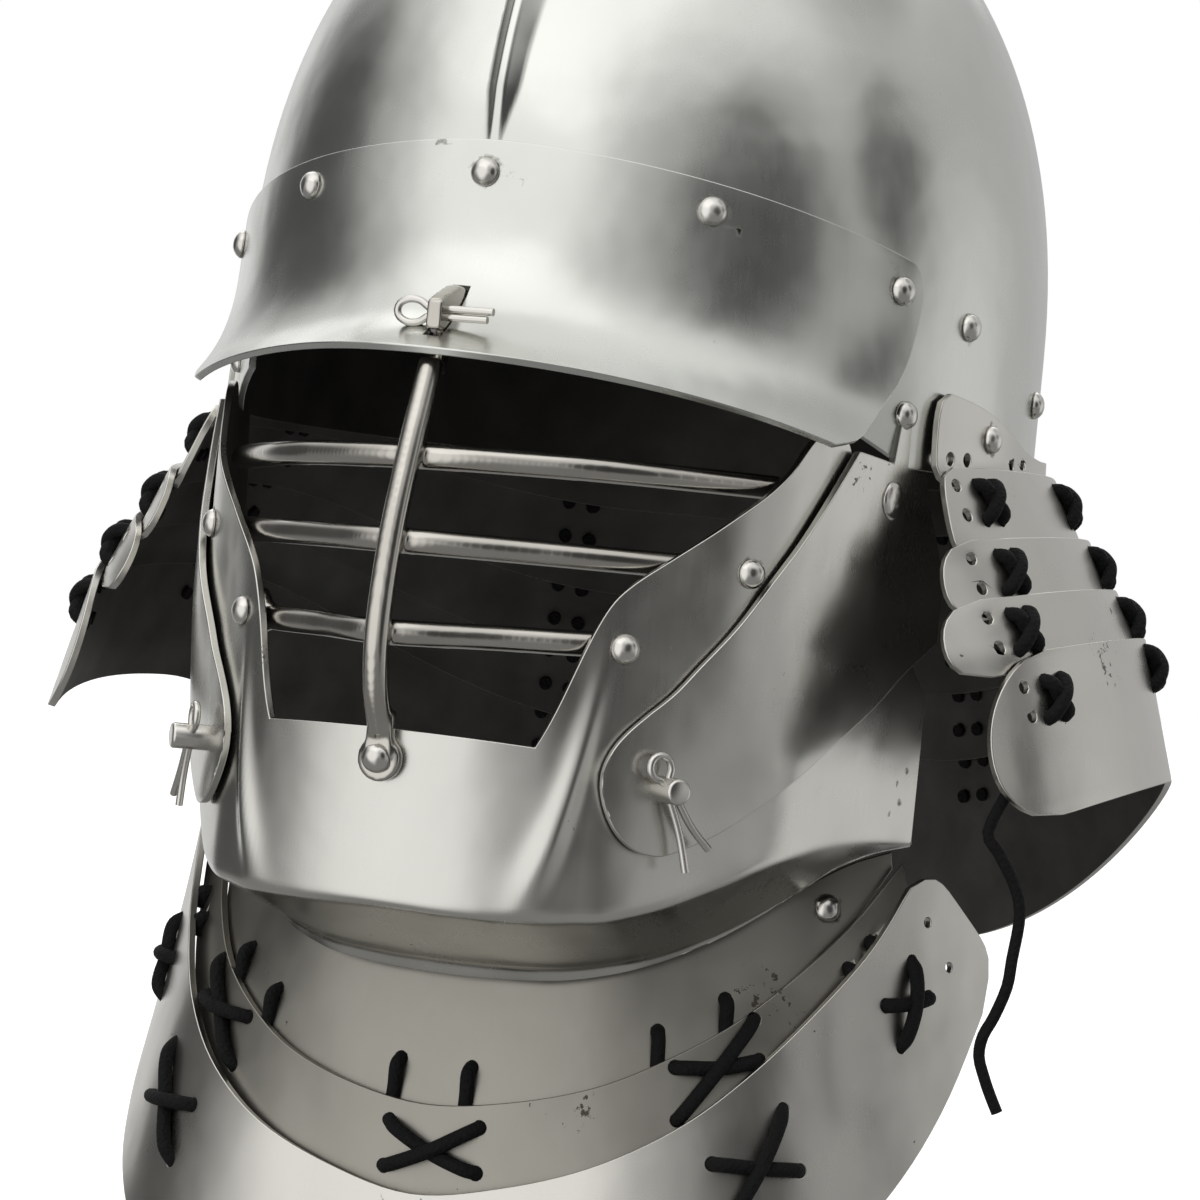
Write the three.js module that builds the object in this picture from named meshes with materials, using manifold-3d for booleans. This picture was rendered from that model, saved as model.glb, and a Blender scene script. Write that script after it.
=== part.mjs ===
// A riveted steel kabuto helmet: ridged skull, flared brow, barred face guard, laced neck and throat lames.
import * as THREE from 'three';
import { mergeVertices } from 'three/addons/utils/BufferGeometryUtils.js';
import Module from 'manifold-3d';

const wasm = await Module();
wasm.setup();

// Driving dimensions in millimetres. In the tables x runs to the wearer's left, forward is measured from
// the middle of the skull and height from the brow line. The finished part has its origin at the inside
// of the crown, with +Z up and the face towards -Y.
const CROWN_INSIDE = 160.6;
const PLATE = 2.0;
const GAP = 0.45;
const WELD_GAP = 0.95;
const SKULL = { halfWidth: 104.7, halfLength: 121, domeBase: 24.6, domeHeight: 138, power: 2.2, rim: -9 };
const SKULL_GRID = { around: 32, dome: 7 };
const FACE_CUT = { halfWidth: 80.5, rear: 50, front: 140, floor: -40, top: 20 };
const RIDGE = { start: 14.5, end: 175, toe: 2.6, growth: 0.137, height: 8.5, crest: 1.2, sink: 1.3 };
const RIDGE_STATIONS = 12;
const BROW = { cornerAngle: 51, rearAngle: 58.8, top: 60.6, topFall: 17.9, topPower: 1.6, low: 7.5 };
const BROW_LOW_FALL = 12;
const BROW_FLARE = { side: 13, middle: 14.5, spread: 16, power: 4 };
const BROW_ROWS = [0, 0.07, 0.2, 0.45, 0.68, 0.85, 0.94, 1];
const BROW_COLUMNS = 16;
const BAR_RADIUS = 3.2;
const TAB = { radius: 6.4, thickness: 3.2 };
const EYE = { radius: 5.6, thickness: 3.2, height: -92, strap: 3 };
const TANG = { thickness: 4, slotClearance: 0.4, slotLow: 8.8, slotHigh: 23.6, slotFront: 170 };
const RIVET = { head: 3.75, rise: 2.6, shank: 1.9, hole: 2.9, clearance: 0.65 };
const FLAT_RIVET = { head: 5.2, rise: 1.2 };
const STUD = { radius: 3.2, hole: 3.8, outside: 8.5, inside: 3, pinHeight: 3.6 };
const COTTER = {
  wire: 0.78,
  legSpacing: 0.95,
  eyeStart: 2.6,
  eyeLength: 9,
  eyeHalfHeight: 2.8,
  hole: 2.2,
  holeDepth: 9,
};
const CORD = 2.4;
const TAIL_RADIUS = 1.5;

// The face wall, from the middle of the chin to its rear edge: its plan above and at the chin edge, the
// heights of its upper and lower edges, and the inner edge of the floor turned in under the chin.
const FACE_STATIONS = [
  { wall: [0, 150], chin: [0, 148], top: -84.5, bottom: -127, floor: [0, 95, -144] },
  { wall: [20, 147], chin: [20, 145.5], top: -85, bottom: -127.5, floor: [17, 94, -143.5] },
  { wall: [34.4, 140.5], chin: [36, 139.5], top: -85.7, bottom: -127.5, floor: [30, 92, -142.5] },
  { wall: [43, 134], chin: [46, 133], top: -60, bottom: -126.5, floor: [40, 88, -140.5] },
  { wall: [50.5, 128], chin: [53, 127], top: -46, bottom: -125.5, floor: [48, 83.5, -138] },
  { wall: [61, 117.5], chin: [61, 116], top: -36, bottom: -122, floor: [57, 76, -134] },
  { wall: [73, 104], chin: [70, 100], top: -20.5, bottom: -116, floor: [66.5, 66, -128] },
  { wall: [82, 82], chin: [77.5, 81], top: -5, bottom: -109.5, floor: [75.5, 54, -120] },
  { wall: [84.6, 60], chin: [82.8, 60], top: -28, bottom: -104.5, floor: [82.5, 43.5, -113] },
  { wall: [89.6, 42], chin: [88.6, 42], top: -47, bottom: -103, floor: [88, 34, -107.5] },
  { wall: [94.4, 24], chin: [94.2, 24], top: -66, bottom: -103, floor: [93.8, 23, -104] },
];
const WALL_TAPER = { from: -50, to: -127 };
const WALL_ROWS = 3;
const FLOOR_ROWS = 2;

// Heights of the side plate's two edges along the face wall, from its rounded front end to its rear end.
const SIDE_STATIONS = [
  { station: 4.05, top: -87, bottom: -97 },
  { station: 4.3, top: -80.5, bottom: -103 },
  { station: 5, top: -68.5, bottom: -107.5 },
  { station: 6, top: -46, bottom: -99.5 },
  { station: 7, top: -14, bottom: -86 },
  { station: 7.3, top: -10, bottom: -82.5 },
  { station: 7.95, top: -10, bottom: -76 },
  { station: 8.05, top: 9, bottom: -75 },
  { station: 8.9, top: 9, bottom: -64 },
  { station: 9.5, top: -20, bottom: -55 },
  { station: 9.9, top: -35, bottom: -50 },
];
const SIDE_COLUMNS = [4.05, 4.15, 4.3, 4.6, 5, 5.5, 6, 6.5, 7, 7.3, 7.95, 8.05, 8.5, 8.9, 9.5, 9.9];
const SIDE_ROWS = 2;

// The round bars of the grille: the upright in the middle plane, and the cross bars along the face wall.
const UPRIGHT = [
  { forward: 143.2, height: 4.4 },
  { forward: 145.4, height: -2 },
  { forward: 151.5, height: -19.2 },
  { forward: 157.3, height: -39.7 },
  { forward: 159.8, height: -61.7 },
  { forward: 157.6, height: -75 },
  { forward: 151.4, height: -84.4 },
];
const CROSS_BARS = [
  { middleForward: 146.6, middle: -19.2, heights: [-19.2, -19.4, -19.8], stations: [2, 4.2, 6.6], tab: false },
  { middleForward: 152.6, middle: -39.7, heights: [-39.6, -39.6, -39.4], stations: [2, 4.2, 6.1], tab: true },
  { middleForward: 155, middle: -61.7, heights: [-61, -60.8, -60.4], stations: [1.4, 2.8, 4.1], tab: true },
];
const TANG_OUTLINE = [
  { forward: 143.5, height: 1 },
  { forward: 142, height: 5 },
  { forward: 140.8, height: 7.6 },
  { forward: 141.4, height: 9.4 },
  { forward: 147.4, height: 11.6 },
  { forward: 149.5, height: 12.5 },
  { forward: 149.8, height: 18 },
  { forward: 147, height: 19.6 },
  { forward: 133.5, height: 22.8 },
  { forward: 131, height: 22.2 },
  { forward: 131.5, height: 17 },
  { forward: 138.6, height: 1 },
];
const TANG_PIN = { forward: 145.5, height: 15.9 };

// Neck lames: share of the drop where each one starts, and the angle of its front end from straight ahead.
const NECK_LAMES = [
  { top: 0, front: 63.5 },
  { top: 0.165, front: 62.7 },
  { top: 0.335, front: 59.5 },
  { top: 0.47, front: 57.5 },
  { top: 0.6, front: 61.2 },
];
const NECK = { top: 10, overlap: 0.05, step: 2.7, firstStep: 2.9, corner: 2.5 };
const NECK_REACH = { side: 151, back: 146 };
const NECK_RIM = { side: -82, frontFall: 16, frontSpan: 40, backFall: 56, fallStart: 100, fallEnd: 160 };
const NECK_FLARE = [
  { drop: 0, flare: 0 },
  { drop: 0.165, flare: 0.024 },
  { drop: 0.335, flare: 0.29 },
  { drop: 0.47, flare: 0.47 },
  { drop: 0.6, flare: 0.665 },
  { drop: 1, flare: 1 },
];
const NECK_ANGLES = { first: 67, last: 293, intervals: 20 };
const LACE_ANGLES = {
  left_front: 70.5,
  left_side: 100,
  left_back: 152,
  right_back: 208,
  right_side: 260,
  right_front: 289.5,
};
const NECK_CROSS = { halfWidth: 4.6, halfHeight: 5.4, drop: 0.085 };
const LACE = { seat: 0.9, depth: 8.6, notch: 1.7, hole: 3.4 };
const END_HOLE = { radius: 1.9, angles: [2.6, 3.4], drops: [0.045, 0.115] };

// Edges of the throat lames, from the middle to the rear end. Each lower lame lies outside the one above.
const THROAT_EDGES = {
  firstTop: [
    [0, 94, -144.8], [20, 93, -144.2], [38, 88.5, -141.8], [52, 80, -137],
    [64, 68.5, -130.4], [75, 54.5, -121.2], [84, 41, -112.6], [91.5, 29.5, -106.8],
  ],
  firstBottom: [
    [0, 100.8, -183], [21.7, 99.4, -180], [41.3, 93.8, -174], [57, 85.2, -165],
    [69.3, 74.8, -155], [79.6, 60, -141], [86.4, 44.6, -127], [92.4, 30, -110.5],
  ],
  secondTop: [
    [0, 103.2, -178], [22, 101.7, -175], [42, 95.7, -169], [58, 86.7, -160],
    [70.5, 75.7, -150], [81, 60.6, -137], [88.5, 45, -124], [95, 30.5, -108.5],
  ],
  secondBottom: [
    [0, 104, -207], [23.5, 103, -202.5], [45, 99, -194.5], [62.4, 90, -183],
    [75.6, 78.4, -168.5], [86, 62.8, -152], [93.3, 47, -136], [99, 33, -117.5],
  ],
  thirdTop: [
    [0, 106.6, -200], [24, 105.6, -195.5], [46, 101.6, -187.5], [64, 92.4, -176],
    [77.5, 80.2, -161.5], [88, 64, -145], [95.5, 48, -129], [101, 33.5, -109.5],
  ],
  thirdBottom: [
    [0, 119, -248], [30, 117, -244], [57, 108, -236.5], [79, 94, -225],
    [95, 75, -210], [105.5, 53, -193], [112, 30, -170], [116, 8, -138],
  ],
};
const THROAT_LAMES = [
  { top: 'firstTop', bottom: 'firstBottom', rows: 2 },
  { top: 'secondTop', bottom: 'secondBottom', rows: 2 },
  { top: 'thirdTop', bottom: 'thirdBottom', rows: 3 },
];
const THROAT_COLUMNS = 16;
const THROAT_LACES = [
  { name: 'right_rear', share: -0.79, from: 1 },
  { name: 'right', share: -0.5, from: 0 },
  { name: 'middle', share: 0.02, from: 0 },
  { name: 'left', share: 0.53, from: 0 },
  { name: 'left_rear', share: 0.87, from: 1 },
];
const THROAT_CROSSES = [
  { lame: 1, along: 0.42, halfWidth: 9, halfHeight: 5.2 },
  { lame: 2, along: 0.4, halfWidth: 8, halfHeight: 7 },
];
const THROAT_HOLES = [
  { share: 0.95, along: 0.25 },
  { share: 0.95, along: 0.55 },
];

// The loose end of the neck lacing, from inside the last left lame to its bare tip.
const TAIL_ROUTE = [
  [130.4, 63, -86], [126.6, 64.5, -96.7], [129.6, 63.3, -101.9], [133.1, 61.9, -107.9],
  [135.2, 61.1, -113.2], [135.7, 60.9, -118.6], [134.9, 61.2, -127.5], [134.4, 61.5, -134.3],
  [132.1, 62.3, -141.9], [130, 63.2, -146.9], [129.5, 63.3, -151.9], [131.2, 62.7, -157.1],
  [132.9, 62, -161.2], [134.9, 61.2, -165.4],
];

const steelLook = { color: 0xb9bab6, roughness: 0.28, metalness: 1 };
const cordLook = { color: 0x1d1c1c, roughness: 0.85, metalness: 0 };
const helmet = new THREE.Group();

const radians = THREE.MathUtils.degToRad;
const lerp = THREE.MathUtils.lerp;
const smoothstep = THREE.MathUtils.smoothstep;

function place(x, forward, height) {
  return new THREE.Vector3(x, -forward, height - CROWN_INSIDE);
}

// Joins and cuts work on closed triangle meshes with shared corners and faces turned outwards.
function solid(geometry) {
  const plain = new THREE.BufferGeometry();
  plain.setAttribute('position', geometry.getAttribute('position'));
  plain.setIndex(geometry.index);
  const merged = mergeVertices(plain, 1e-4);
  const position = merged.getAttribute('position');
  const corners = [];
  let volume = 0;
  const [a, b, c] = [new THREE.Vector3(), new THREE.Vector3(), new THREE.Vector3()];
  for (let start = 0; start < merged.index.count; start += 3) {
    const triangle = [0, 1, 2].map((offset) => merged.index.getX(start + offset));
    if (new Set(triangle).size === 3) {
      corners.push(...triangle);
      a.fromBufferAttribute(position, triangle[0]);
      b.fromBufferAttribute(position, triangle[1]);
      c.fromBufferAttribute(position, triangle[2]);
      volume += a.dot(b.cross(c));
    }
  }
  if (volume < 0) {
    corners.reverse();
  }
  const vertProperties = Float32Array.from(position.array);
  return new wasm.Manifold(new wasm.Mesh({ numProp: 3, vertProperties, triVerts: Uint32Array.from(corners) }));
}

function geometryOf(body) {
  const mesh = body.getMesh();
  const geometry = new THREE.BufferGeometry();
  geometry.setAttribute('position', new THREE.BufferAttribute(mesh.vertProperties, 3));
  geometry.setIndex(new THREE.BufferAttribute(mesh.triVerts, 1));
  return geometry;
}

function add(name, body, look) {
  const geometry = geometryOf(body);
  geometry.computeVertexNormals();
  const mesh = new THREE.Mesh(geometry, new THREE.MeshStandardMaterial(look));
  mesh.name = name;
  helmet.add(mesh);
}

function mirrored(body) {
  return solid(geometryOf(body).scale(-1, 1, 1));
}

function opposite(points) {
  return points.map((point) => new THREE.Vector3(-point.x, point.y, point.z));
}

// A sheet given by rows of points on its outer face, thickened inwards along its normals.
function sheetNormal(rows, row, column) {
  const lastRow = rows.length - 1;
  const lastColumn = rows[0].length - 1;
  const across = rows[row][Math.min(column + 1, lastColumn)].clone().sub(rows[row][Math.max(column - 1, 0)]);
  const down = rows[Math.min(row + 1, lastRow)][column].clone().sub(rows[Math.max(row - 1, 0)][column]);
  return down.cross(across).normalize();
}

function sheetPoint(rows, rowShare, columnShare, lift) {
  const rowPlace = rowShare * (rows.length - 1);
  const columnPlace = columnShare * (rows[0].length - 1);
  const row = Math.min(Math.floor(rowPlace), rows.length - 2);
  const column = Math.min(Math.floor(columnPlace), rows[0].length - 2);
  const upper = rows[row][column].clone().lerp(rows[row][column + 1], columnPlace - column);
  const lower = rows[row + 1][column].clone().lerp(rows[row + 1][column + 1], columnPlace - column);
  const down = lower.clone().sub(upper);
  const across = rows[row][column + 1].clone().sub(rows[row][column]);
  const normal = down.cross(across).normalize();
  return upper.lerp(lower, rowPlace - row).addScaledVector(normal, lift);
}

function sheet(outer, inner) {
  const rows = outer.length;
  const columns = outer[0].length;
  const points = [...outer.flat(), ...inner.flat()];
  const outerAt = (row, column) => row * columns + column;
  const innerAt = (row, column) => rows * columns + outerAt(row, column);
  const faces = [];
  const quad = (a, b, c, d) => faces.push(a, b, c, a, c, d);
  for (let row = 0; row < rows - 1; row++) {
    for (let column = 0; column < columns - 1; column++) {
      quad(outerAt(row, column), outerAt(row + 1, column), outerAt(row + 1, column + 1), outerAt(row, column + 1));
      quad(innerAt(row, column), innerAt(row, column + 1), innerAt(row + 1, column + 1), innerAt(row + 1, column));
    }
  }
  for (let column = 0; column < columns - 1; column++) {
    quad(outerAt(0, column), outerAt(0, column + 1), innerAt(0, column + 1), innerAt(0, column));
    const last = rows - 1;
    quad(outerAt(last, column + 1), outerAt(last, column), innerAt(last, column), innerAt(last, column + 1));
  }
  for (let row = 0; row < rows - 1; row++) {
    quad(outerAt(row + 1, 0), outerAt(row, 0), innerAt(row, 0), innerAt(row + 1, 0));
    const last = columns - 1;
    quad(outerAt(row, last), outerAt(row + 1, last), innerAt(row + 1, last), innerAt(row, last));
  }
  const geometry = new THREE.BufferGeometry().setFromPoints(points);
  geometry.setIndex(faces);
  return solid(geometry);
}

function thickened(rows) {
  const inner = rows.map((points, row) =>
    points.map((point, column) => point.clone().addScaledVector(sheetNormal(rows, row, column), -PLATE)));
  return sheet(rows, inner);
}

// A straight round piece between two points.
function rod(from, to, radius, sides) {
  const along = to.clone().sub(from);
  const geometry = new THREE.CylinderGeometry(radius, radius, along.length(), sides);
  const turn = new THREE.Quaternion().setFromUnitVectors(new THREE.Vector3(0, 1, 0), along.clone().normalize());
  geometry.applyQuaternion(turn);
  const middle = from.clone().add(to).multiplyScalar(0.5);
  geometry.translate(middle.x, middle.y, middle.z);
  return solid(geometry);
}

// A bent round bar, wire or cord through a list of points.
function tube(points, radius, sides, steps) {
  const section = new THREE.Shape();
  for (let side = 0; side < sides; side++) {
    const angle = (side / sides) * 2 * Math.PI;
    const corner = new THREE.Vector2(radius * Math.cos(angle), radius * Math.sin(angle));
    if (side === 0) {
      section.moveTo(corner.x, corner.y);
    } else {
      section.lineTo(corner.x, corner.y);
    }
  }
  section.closePath();
  const path = new THREE.CatmullRomCurve3(points, false, 'centripetal');
  return solid(new THREE.ExtrudeGeometry(section, { steps, bevelEnabled: false, extrudePath: path }));
}

function box(halfWidth, rear, front, low, high) {
  const geometry = new THREE.BoxGeometry(2 * halfWidth, front - rear, high - low);
  const middle = place(0, (front + rear) / 2, (high + low) / 2);
  geometry.translate(middle.x, middle.y, middle.z);
  return solid(geometry);
}

// Where a line towards a plate meets its outer face.
function seatOn(body, from, towards) {
  const target = new THREE.Mesh(geometryOf(body), new THREE.MeshBasicMaterial({ side: THREE.DoubleSide }));
  const caster = new THREE.Raycaster(from, towards.clone().sub(from).normalize());
  const hit = caster.intersectObject(target)[0];
  return { point: hit.point, normal: hit.face.normal.clone() };
}

function value(table, key, field, at) {
  const last = table.length - 1;
  const after = Math.min(Math.max(table.findIndex((row) => row[key] >= at), 1), last);
  const [low, high] = at > table[last][key] ? [table[last - 1], table[last]] : [table[after - 1], table[after]];
  return lerp(low[field], high[field], (at - low[key]) / (high[key] - low[key]));
}

// The skull is an oval bowl with a superelliptic dome.
function domeShare(height) {
  const rise = Math.max(height - SKULL.domeBase, 0) / SKULL.domeHeight;
  return (1 - rise ** SKULL.power) ** (1 / SKULL.power);
}

function ovalRadius(angle) {
  return 1 / Math.hypot(Math.sin(angle) / SKULL.halfWidth, Math.cos(angle) / SKULL.halfLength);
}

function skullPoint(angle, height, lift) {
  const radius = ovalRadius(angle) * domeShare(height);
  const x = radius * Math.sin(angle);
  const forward = radius * Math.cos(angle);
  const slope = new THREE.Vector2(x / SKULL.halfWidth ** 2, forward / SKULL.halfLength ** 2).normalize();
  return place(x + slope.x * lift, forward + slope.y * lift, height);
}

function meridian(angle, inset) {
  const power = 2 / SKULL.power;
  const [forward, rise] = [Math.cos(angle), Math.sin(angle)];
  const reach = Math.sign(forward) * Math.abs(forward) ** power * (SKULL.halfLength - inset);
  return new THREE.Vector2(reach, SKULL.domeBase + rise ** power * (SKULL.domeHeight - inset));
}

function skullBowl() {
  const outer = [];
  const inner = [];
  for (let step = 0; step <= SKULL_GRID.dome; step++) {
    const angle = (Math.PI / 2) * (1 - step / SKULL_GRID.dome);
    outer.push(meridian(angle, 0));
    inner.unshift(meridian(angle, PLATE));
  }
  outer[0].x = 0;
  inner[inner.length - 1].x = 0;
  const outerRim = new THREE.Vector2(SKULL.halfLength, SKULL.rim);
  const innerRim = new THREE.Vector2(SKULL.halfLength - PLATE, SKULL.rim);
  const bowl = new THREE.LatheGeometry([...outer, outerRim, innerRim, ...inner], SKULL_GRID.around);
  bowl.rotateX(Math.PI / 2);
  bowl.scale(SKULL.halfWidth / SKULL.halfLength, 1, 1);
  bowl.translate(0, 0, -CROWN_INSIDE);
  return solid(bowl);
}

function keelRidge() {
  const rings = [];
  for (let station = 0; station < RIDGE_STATIONS; station++) {
    const degrees = lerp(RIDGE.start, RIDGE.end, station / (RIDGE_STATIONS - 1));
    const fromEnd = Math.min(degrees - RIDGE.start, RIDGE.end - degrees);
    const height = Math.min(RIDGE.height, RIDGE.toe + RIDGE.growth * fromEnd);
    const base = meridian(radians(degrees), 0);
    const ahead = meridian(radians(degrees + 0.5), 0).sub(meridian(radians(degrees - 0.5), 0)).normalize();
    const outward = new THREE.Vector2(ahead.y, -ahead.x);
    const corner = (x, lift) => place(x, base.x + outward.x * lift, base.y + outward.y * lift);
    const foot = RIDGE.crest + height + RIDGE.sink;
    rings.push([
      corner(-foot, -RIDGE.sink),
      corner(-RIDGE.crest, height),
      corner(RIDGE.crest, height),
      corner(foot, -RIDGE.sink),
    ]);
  }
  const faces = [];
  for (let station = 0; station < rings.length - 1; station++) {
    for (let side = 0; side < 4; side++) {
      const [a, b] = [station * 4 + side, station * 4 + ((side + 1) % 4)];
      faces.push(a, b, b + 4, a, b + 4, a + 4);
    }
  }
  const end = (rings.length - 1) * 4;
  faces.push(0, 2, 1, 0, 3, 2, end, end + 1, end + 2, end, end + 2, end + 3);
  const geometry = new THREE.BufferGeometry().setFromPoints(rings.flat());
  geometry.setIndex(faces);
  return solid(geometry);
}

function browRows() {
  return BROW_ROWS.map((share) => {
    const reach = lerp(BROW.rearAngle, BROW.cornerAngle, Math.abs(2 * share - 1) ** 5);
    const points = [];
    for (let column = 0; column <= BROW_COLUMNS; column++) {
      const across = (2 * column) / BROW_COLUMNS - 1;
      const degrees = across * reach;
      const top = BROW.top - BROW.topFall * Math.abs(across) ** BROW.topPower;
      const low = BROW.low - BROW_LOW_FALL * across ** 2;
      const flare = BROW_FLARE.side + BROW_FLARE.middle * Math.exp(-((degrees / BROW_FLARE.spread) ** 2));
      const lift = PLATE + GAP + flare * share ** BROW_FLARE.power;
      points.push(skullPoint(radians(degrees), lerp(top, low, share), lift));
    }
    return points;
  });
}

// The face wall: a point by station and height, and its level outward direction.
function wallPlan(station, height) {
  const first = Math.min(Math.floor(station), FACE_STATIONS.length - 2);
  const share = station - first;
  const [from, to] = [FACE_STATIONS[first], FACE_STATIONS[first + 1]];
  const taper = THREE.MathUtils.clamp((height - WALL_TAPER.from) / (WALL_TAPER.to - WALL_TAPER.from), 0, 1);
  const wall = new THREE.Vector2(...from.wall).lerp(new THREE.Vector2(...to.wall), share);
  const chin = new THREE.Vector2(...from.chin).lerp(new THREE.Vector2(...to.chin), share);
  return wall.lerp(chin, taper);
}

function wallPoint(station, height, lift) {
  const plan = wallPlan(station, height);
  const ahead = wallPlan(Math.min(station + 0.5, FACE_STATIONS.length - 1), height);
  const behind = wallPlan(Math.max(station - 0.5, 0), height);
  const along = ahead.sub(behind).normalize();
  return place(plan.x - along.y * lift, plan.y + along.x * lift, height);
}

function faceColumn(station) {
  const row = FACE_STATIONS[station];
  const points = [];
  for (let step = 0; step <= WALL_ROWS; step++) {
    points.push(wallPoint(station, lerp(row.top, row.bottom, step / WALL_ROWS), 0));
  }
  const edge = points[WALL_ROWS];
  const floor = place(...row.floor);
  for (let step = 1; step <= FLOOR_ROWS; step++) {
    points.push(edge.clone().lerp(floor, step / FLOOR_ROWS));
  }
  return points;
}

function facePlate() {
  const left = FACE_STATIONS.map((row, station) => faceColumn(station));
  const right = left.slice(1).reverse().map(opposite);
  const columns = [...right, ...left];
  return thickened(columns[0].map((point, row) => columns.map((column) => column[row])));
}

function sidePlate() {
  const rows = [];
  for (let step = 0; step <= SIDE_ROWS; step++) {
    rows.push(SIDE_COLUMNS.map((station) => {
      const top = value(SIDE_STATIONS, 'station', 'top', station);
      const bottom = value(SIDE_STATIONS, 'station', 'bottom', station);
      return wallPoint(station, lerp(top, bottom, step / SIDE_ROWS), PLATE + WELD_GAP);
    }));
  }
  return thickened(rows);
}

// The grille is welded from round bar, with flattened ends where it is riveted.
function crossBar(bar) {
  const inset = -(PLATE + WELD_GAP + BAR_RADIUS);
  const left = bar.stations.map((station, index) => wallPoint(station, bar.heights[index], inset));
  const right = opposite(left).reverse();
  return tube([...right, place(0, bar.middleForward, bar.middle), ...left], BAR_RADIUS, 6, 10);
}

function barTab(bar, side) {
  const station = bar.stations[bar.stations.length - 1];
  const height = bar.heights[bar.heights.length - 1];
  const outer = wallPoint(station, height, -(PLATE + WELD_GAP));
  const inner = wallPoint(station, height, -(PLATE + WELD_GAP + TAB.thickness));
  outer.x *= side;
  inner.x *= side;
  return rod(inner, outer, TAB.radius, 7);
}

function tang() {
  const outline = new THREE.Shape(TANG_OUTLINE.map((corner) => new THREE.Vector2(corner.forward, corner.height)));
  const geometry = new THREE.ExtrudeGeometry(outline, { depth: TANG.thickness, bevelEnabled: false });
  geometry.translate(0, 0, -TANG.thickness / 2);
  const turn = new THREE.Matrix4();
  turn.makeBasis(new THREE.Vector3(0, -1, 0), new THREE.Vector3(0, 0, 1), new THREE.Vector3(-1, 0, 0));
  geometry.applyMatrix4(turn);
  geometry.translate(0, 0, -CROWN_INSIDE);
  return solid(geometry);
}

function grilleWelded() {
  const upright = UPRIGHT.map((point) => place(0, point.forward, point.height));
  const eyeBack = wallPoint(0, EYE.height, GAP);
  const eyeFront = wallPoint(0, EYE.height, GAP + EYE.thickness);
  const strap = box(EYE.strap, 150.6, 153.4, EYE.height + 4, EYE.height + 11);
  const eye = rod(eyeBack, eyeFront, EYE.radius, 10).add(strap);
  let body = tube(upright, BAR_RADIUS, 6, 9).add(eye).add(tang());
  for (const bar of CROSS_BARS) {
    body = body.add(crossBar(bar));
    if (bar.tab) {
      body = body.add(barTab(bar, 1)).add(barTab(bar, -1));
    }
  }
  return body;
}

// A split pin: one wire bent into an eye, with two legs through the hole that may be spread at their tips.
function cotterPin(middle, along, across, legLength, spread) {
  const spot = (reach, offset) => middle.clone().addScaledVector(along, reach).addScaledVector(across, offset);
  const { legSpacing, eyeStart, eyeLength, eyeHalfHeight } = COTTER;
  const half = [
    [legLength, legSpacing + spread],
    [legLength * 0.55, legSpacing + spread * 0.3],
    [eyeStart, legSpacing],
    [-eyeStart, legSpacing],
    [-eyeStart - eyeLength * 0.3, eyeHalfHeight * 0.9],
    [-eyeStart - eyeLength * 0.65, eyeHalfHeight],
    [-eyeStart - eyeLength * 0.92, eyeHalfHeight * 0.6],
  ];
  const upper = half.map(([reach, offset]) => spot(reach, offset));
  const lower = half.map(([reach, offset]) => spot(reach, -offset)).reverse();
  return tube([...upper, spot(-eyeStart - eyeLength, 0), ...lower], COTTER.wire, 4, 18);
}

function rivet(seat, look, shankLength) {
  const profile = [
    new THREE.Vector2(0, -shankLength),
    new THREE.Vector2(RIVET.shank, -shankLength),
    new THREE.Vector2(RIVET.shank, RIVET.clearance),
    new THREE.Vector2(look.head, RIVET.clearance),
    new THREE.Vector2(look.head * 0.78, RIVET.clearance + look.rise * 0.66),
    new THREE.Vector2(0, RIVET.clearance + look.rise),
  ];
  const geometry = new THREE.LatheGeometry(profile, 6);
  geometry.applyQuaternion(new THREE.Quaternion().setFromUnitVectors(new THREE.Vector3(0, 1, 0), seat.normal));
  geometry.translate(seat.point.x, seat.point.y, seat.point.z);
  return solid(geometry);
}

function drill(seat, radius, sides, depth) {
  const outside = seat.point.clone().addScaledVector(seat.normal, depth);
  const inside = seat.point.clone().addScaledVector(seat.normal, -depth);
  return rod(inside, outside, radius, sides);
}

// Neck lames hang from the skull's lower edge round the back, each one a step outside the one above.
function neckPoint(lame, degrees, drop, lift) {
  const angle = radians(degrees);
  const fromFront = Math.min(degrees, 360 - degrees);
  const toFront = Math.max(NECK_RIM.fallStart - fromFront, 0) / NECK_RIM.frontSpan;
  const toBack = smoothstep(fromFront, NECK_RIM.fallStart, NECK_RIM.fallEnd);
  const rim = NECK_RIM.side - NECK_RIM.frontFall * toFront ** 2 - NECK_RIM.backFall * toBack;
  const rimRadius = lerp(NECK_REACH.side, NECK_REACH.back, smoothstep(fromFront, 90, 180));
  const oval = ovalRadius(angle);
  const layer = NECK.firstStep + NECK.step * lame;
  const lastLayer = NECK.firstStep + NECK.step * (NECK_LAMES.length - 1);
  const radius = oval + layer + value(NECK_FLARE, 'drop', 'flare', drop) * (rimRadius - oval - lastLayer) + lift;
  return place(radius * Math.sin(angle), radius * Math.cos(angle), lerp(NECK.top, rim, drop));
}

function lameDrops(lame) {
  const top = NECK_LAMES[lame].top;
  const next = NECK_LAMES[lame + 1];
  const bottom = next ? next.top + NECK.overlap : 1;
  const middle = next ? next.top : (top + bottom) / 2;
  return [top, middle, bottom];
}

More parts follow.
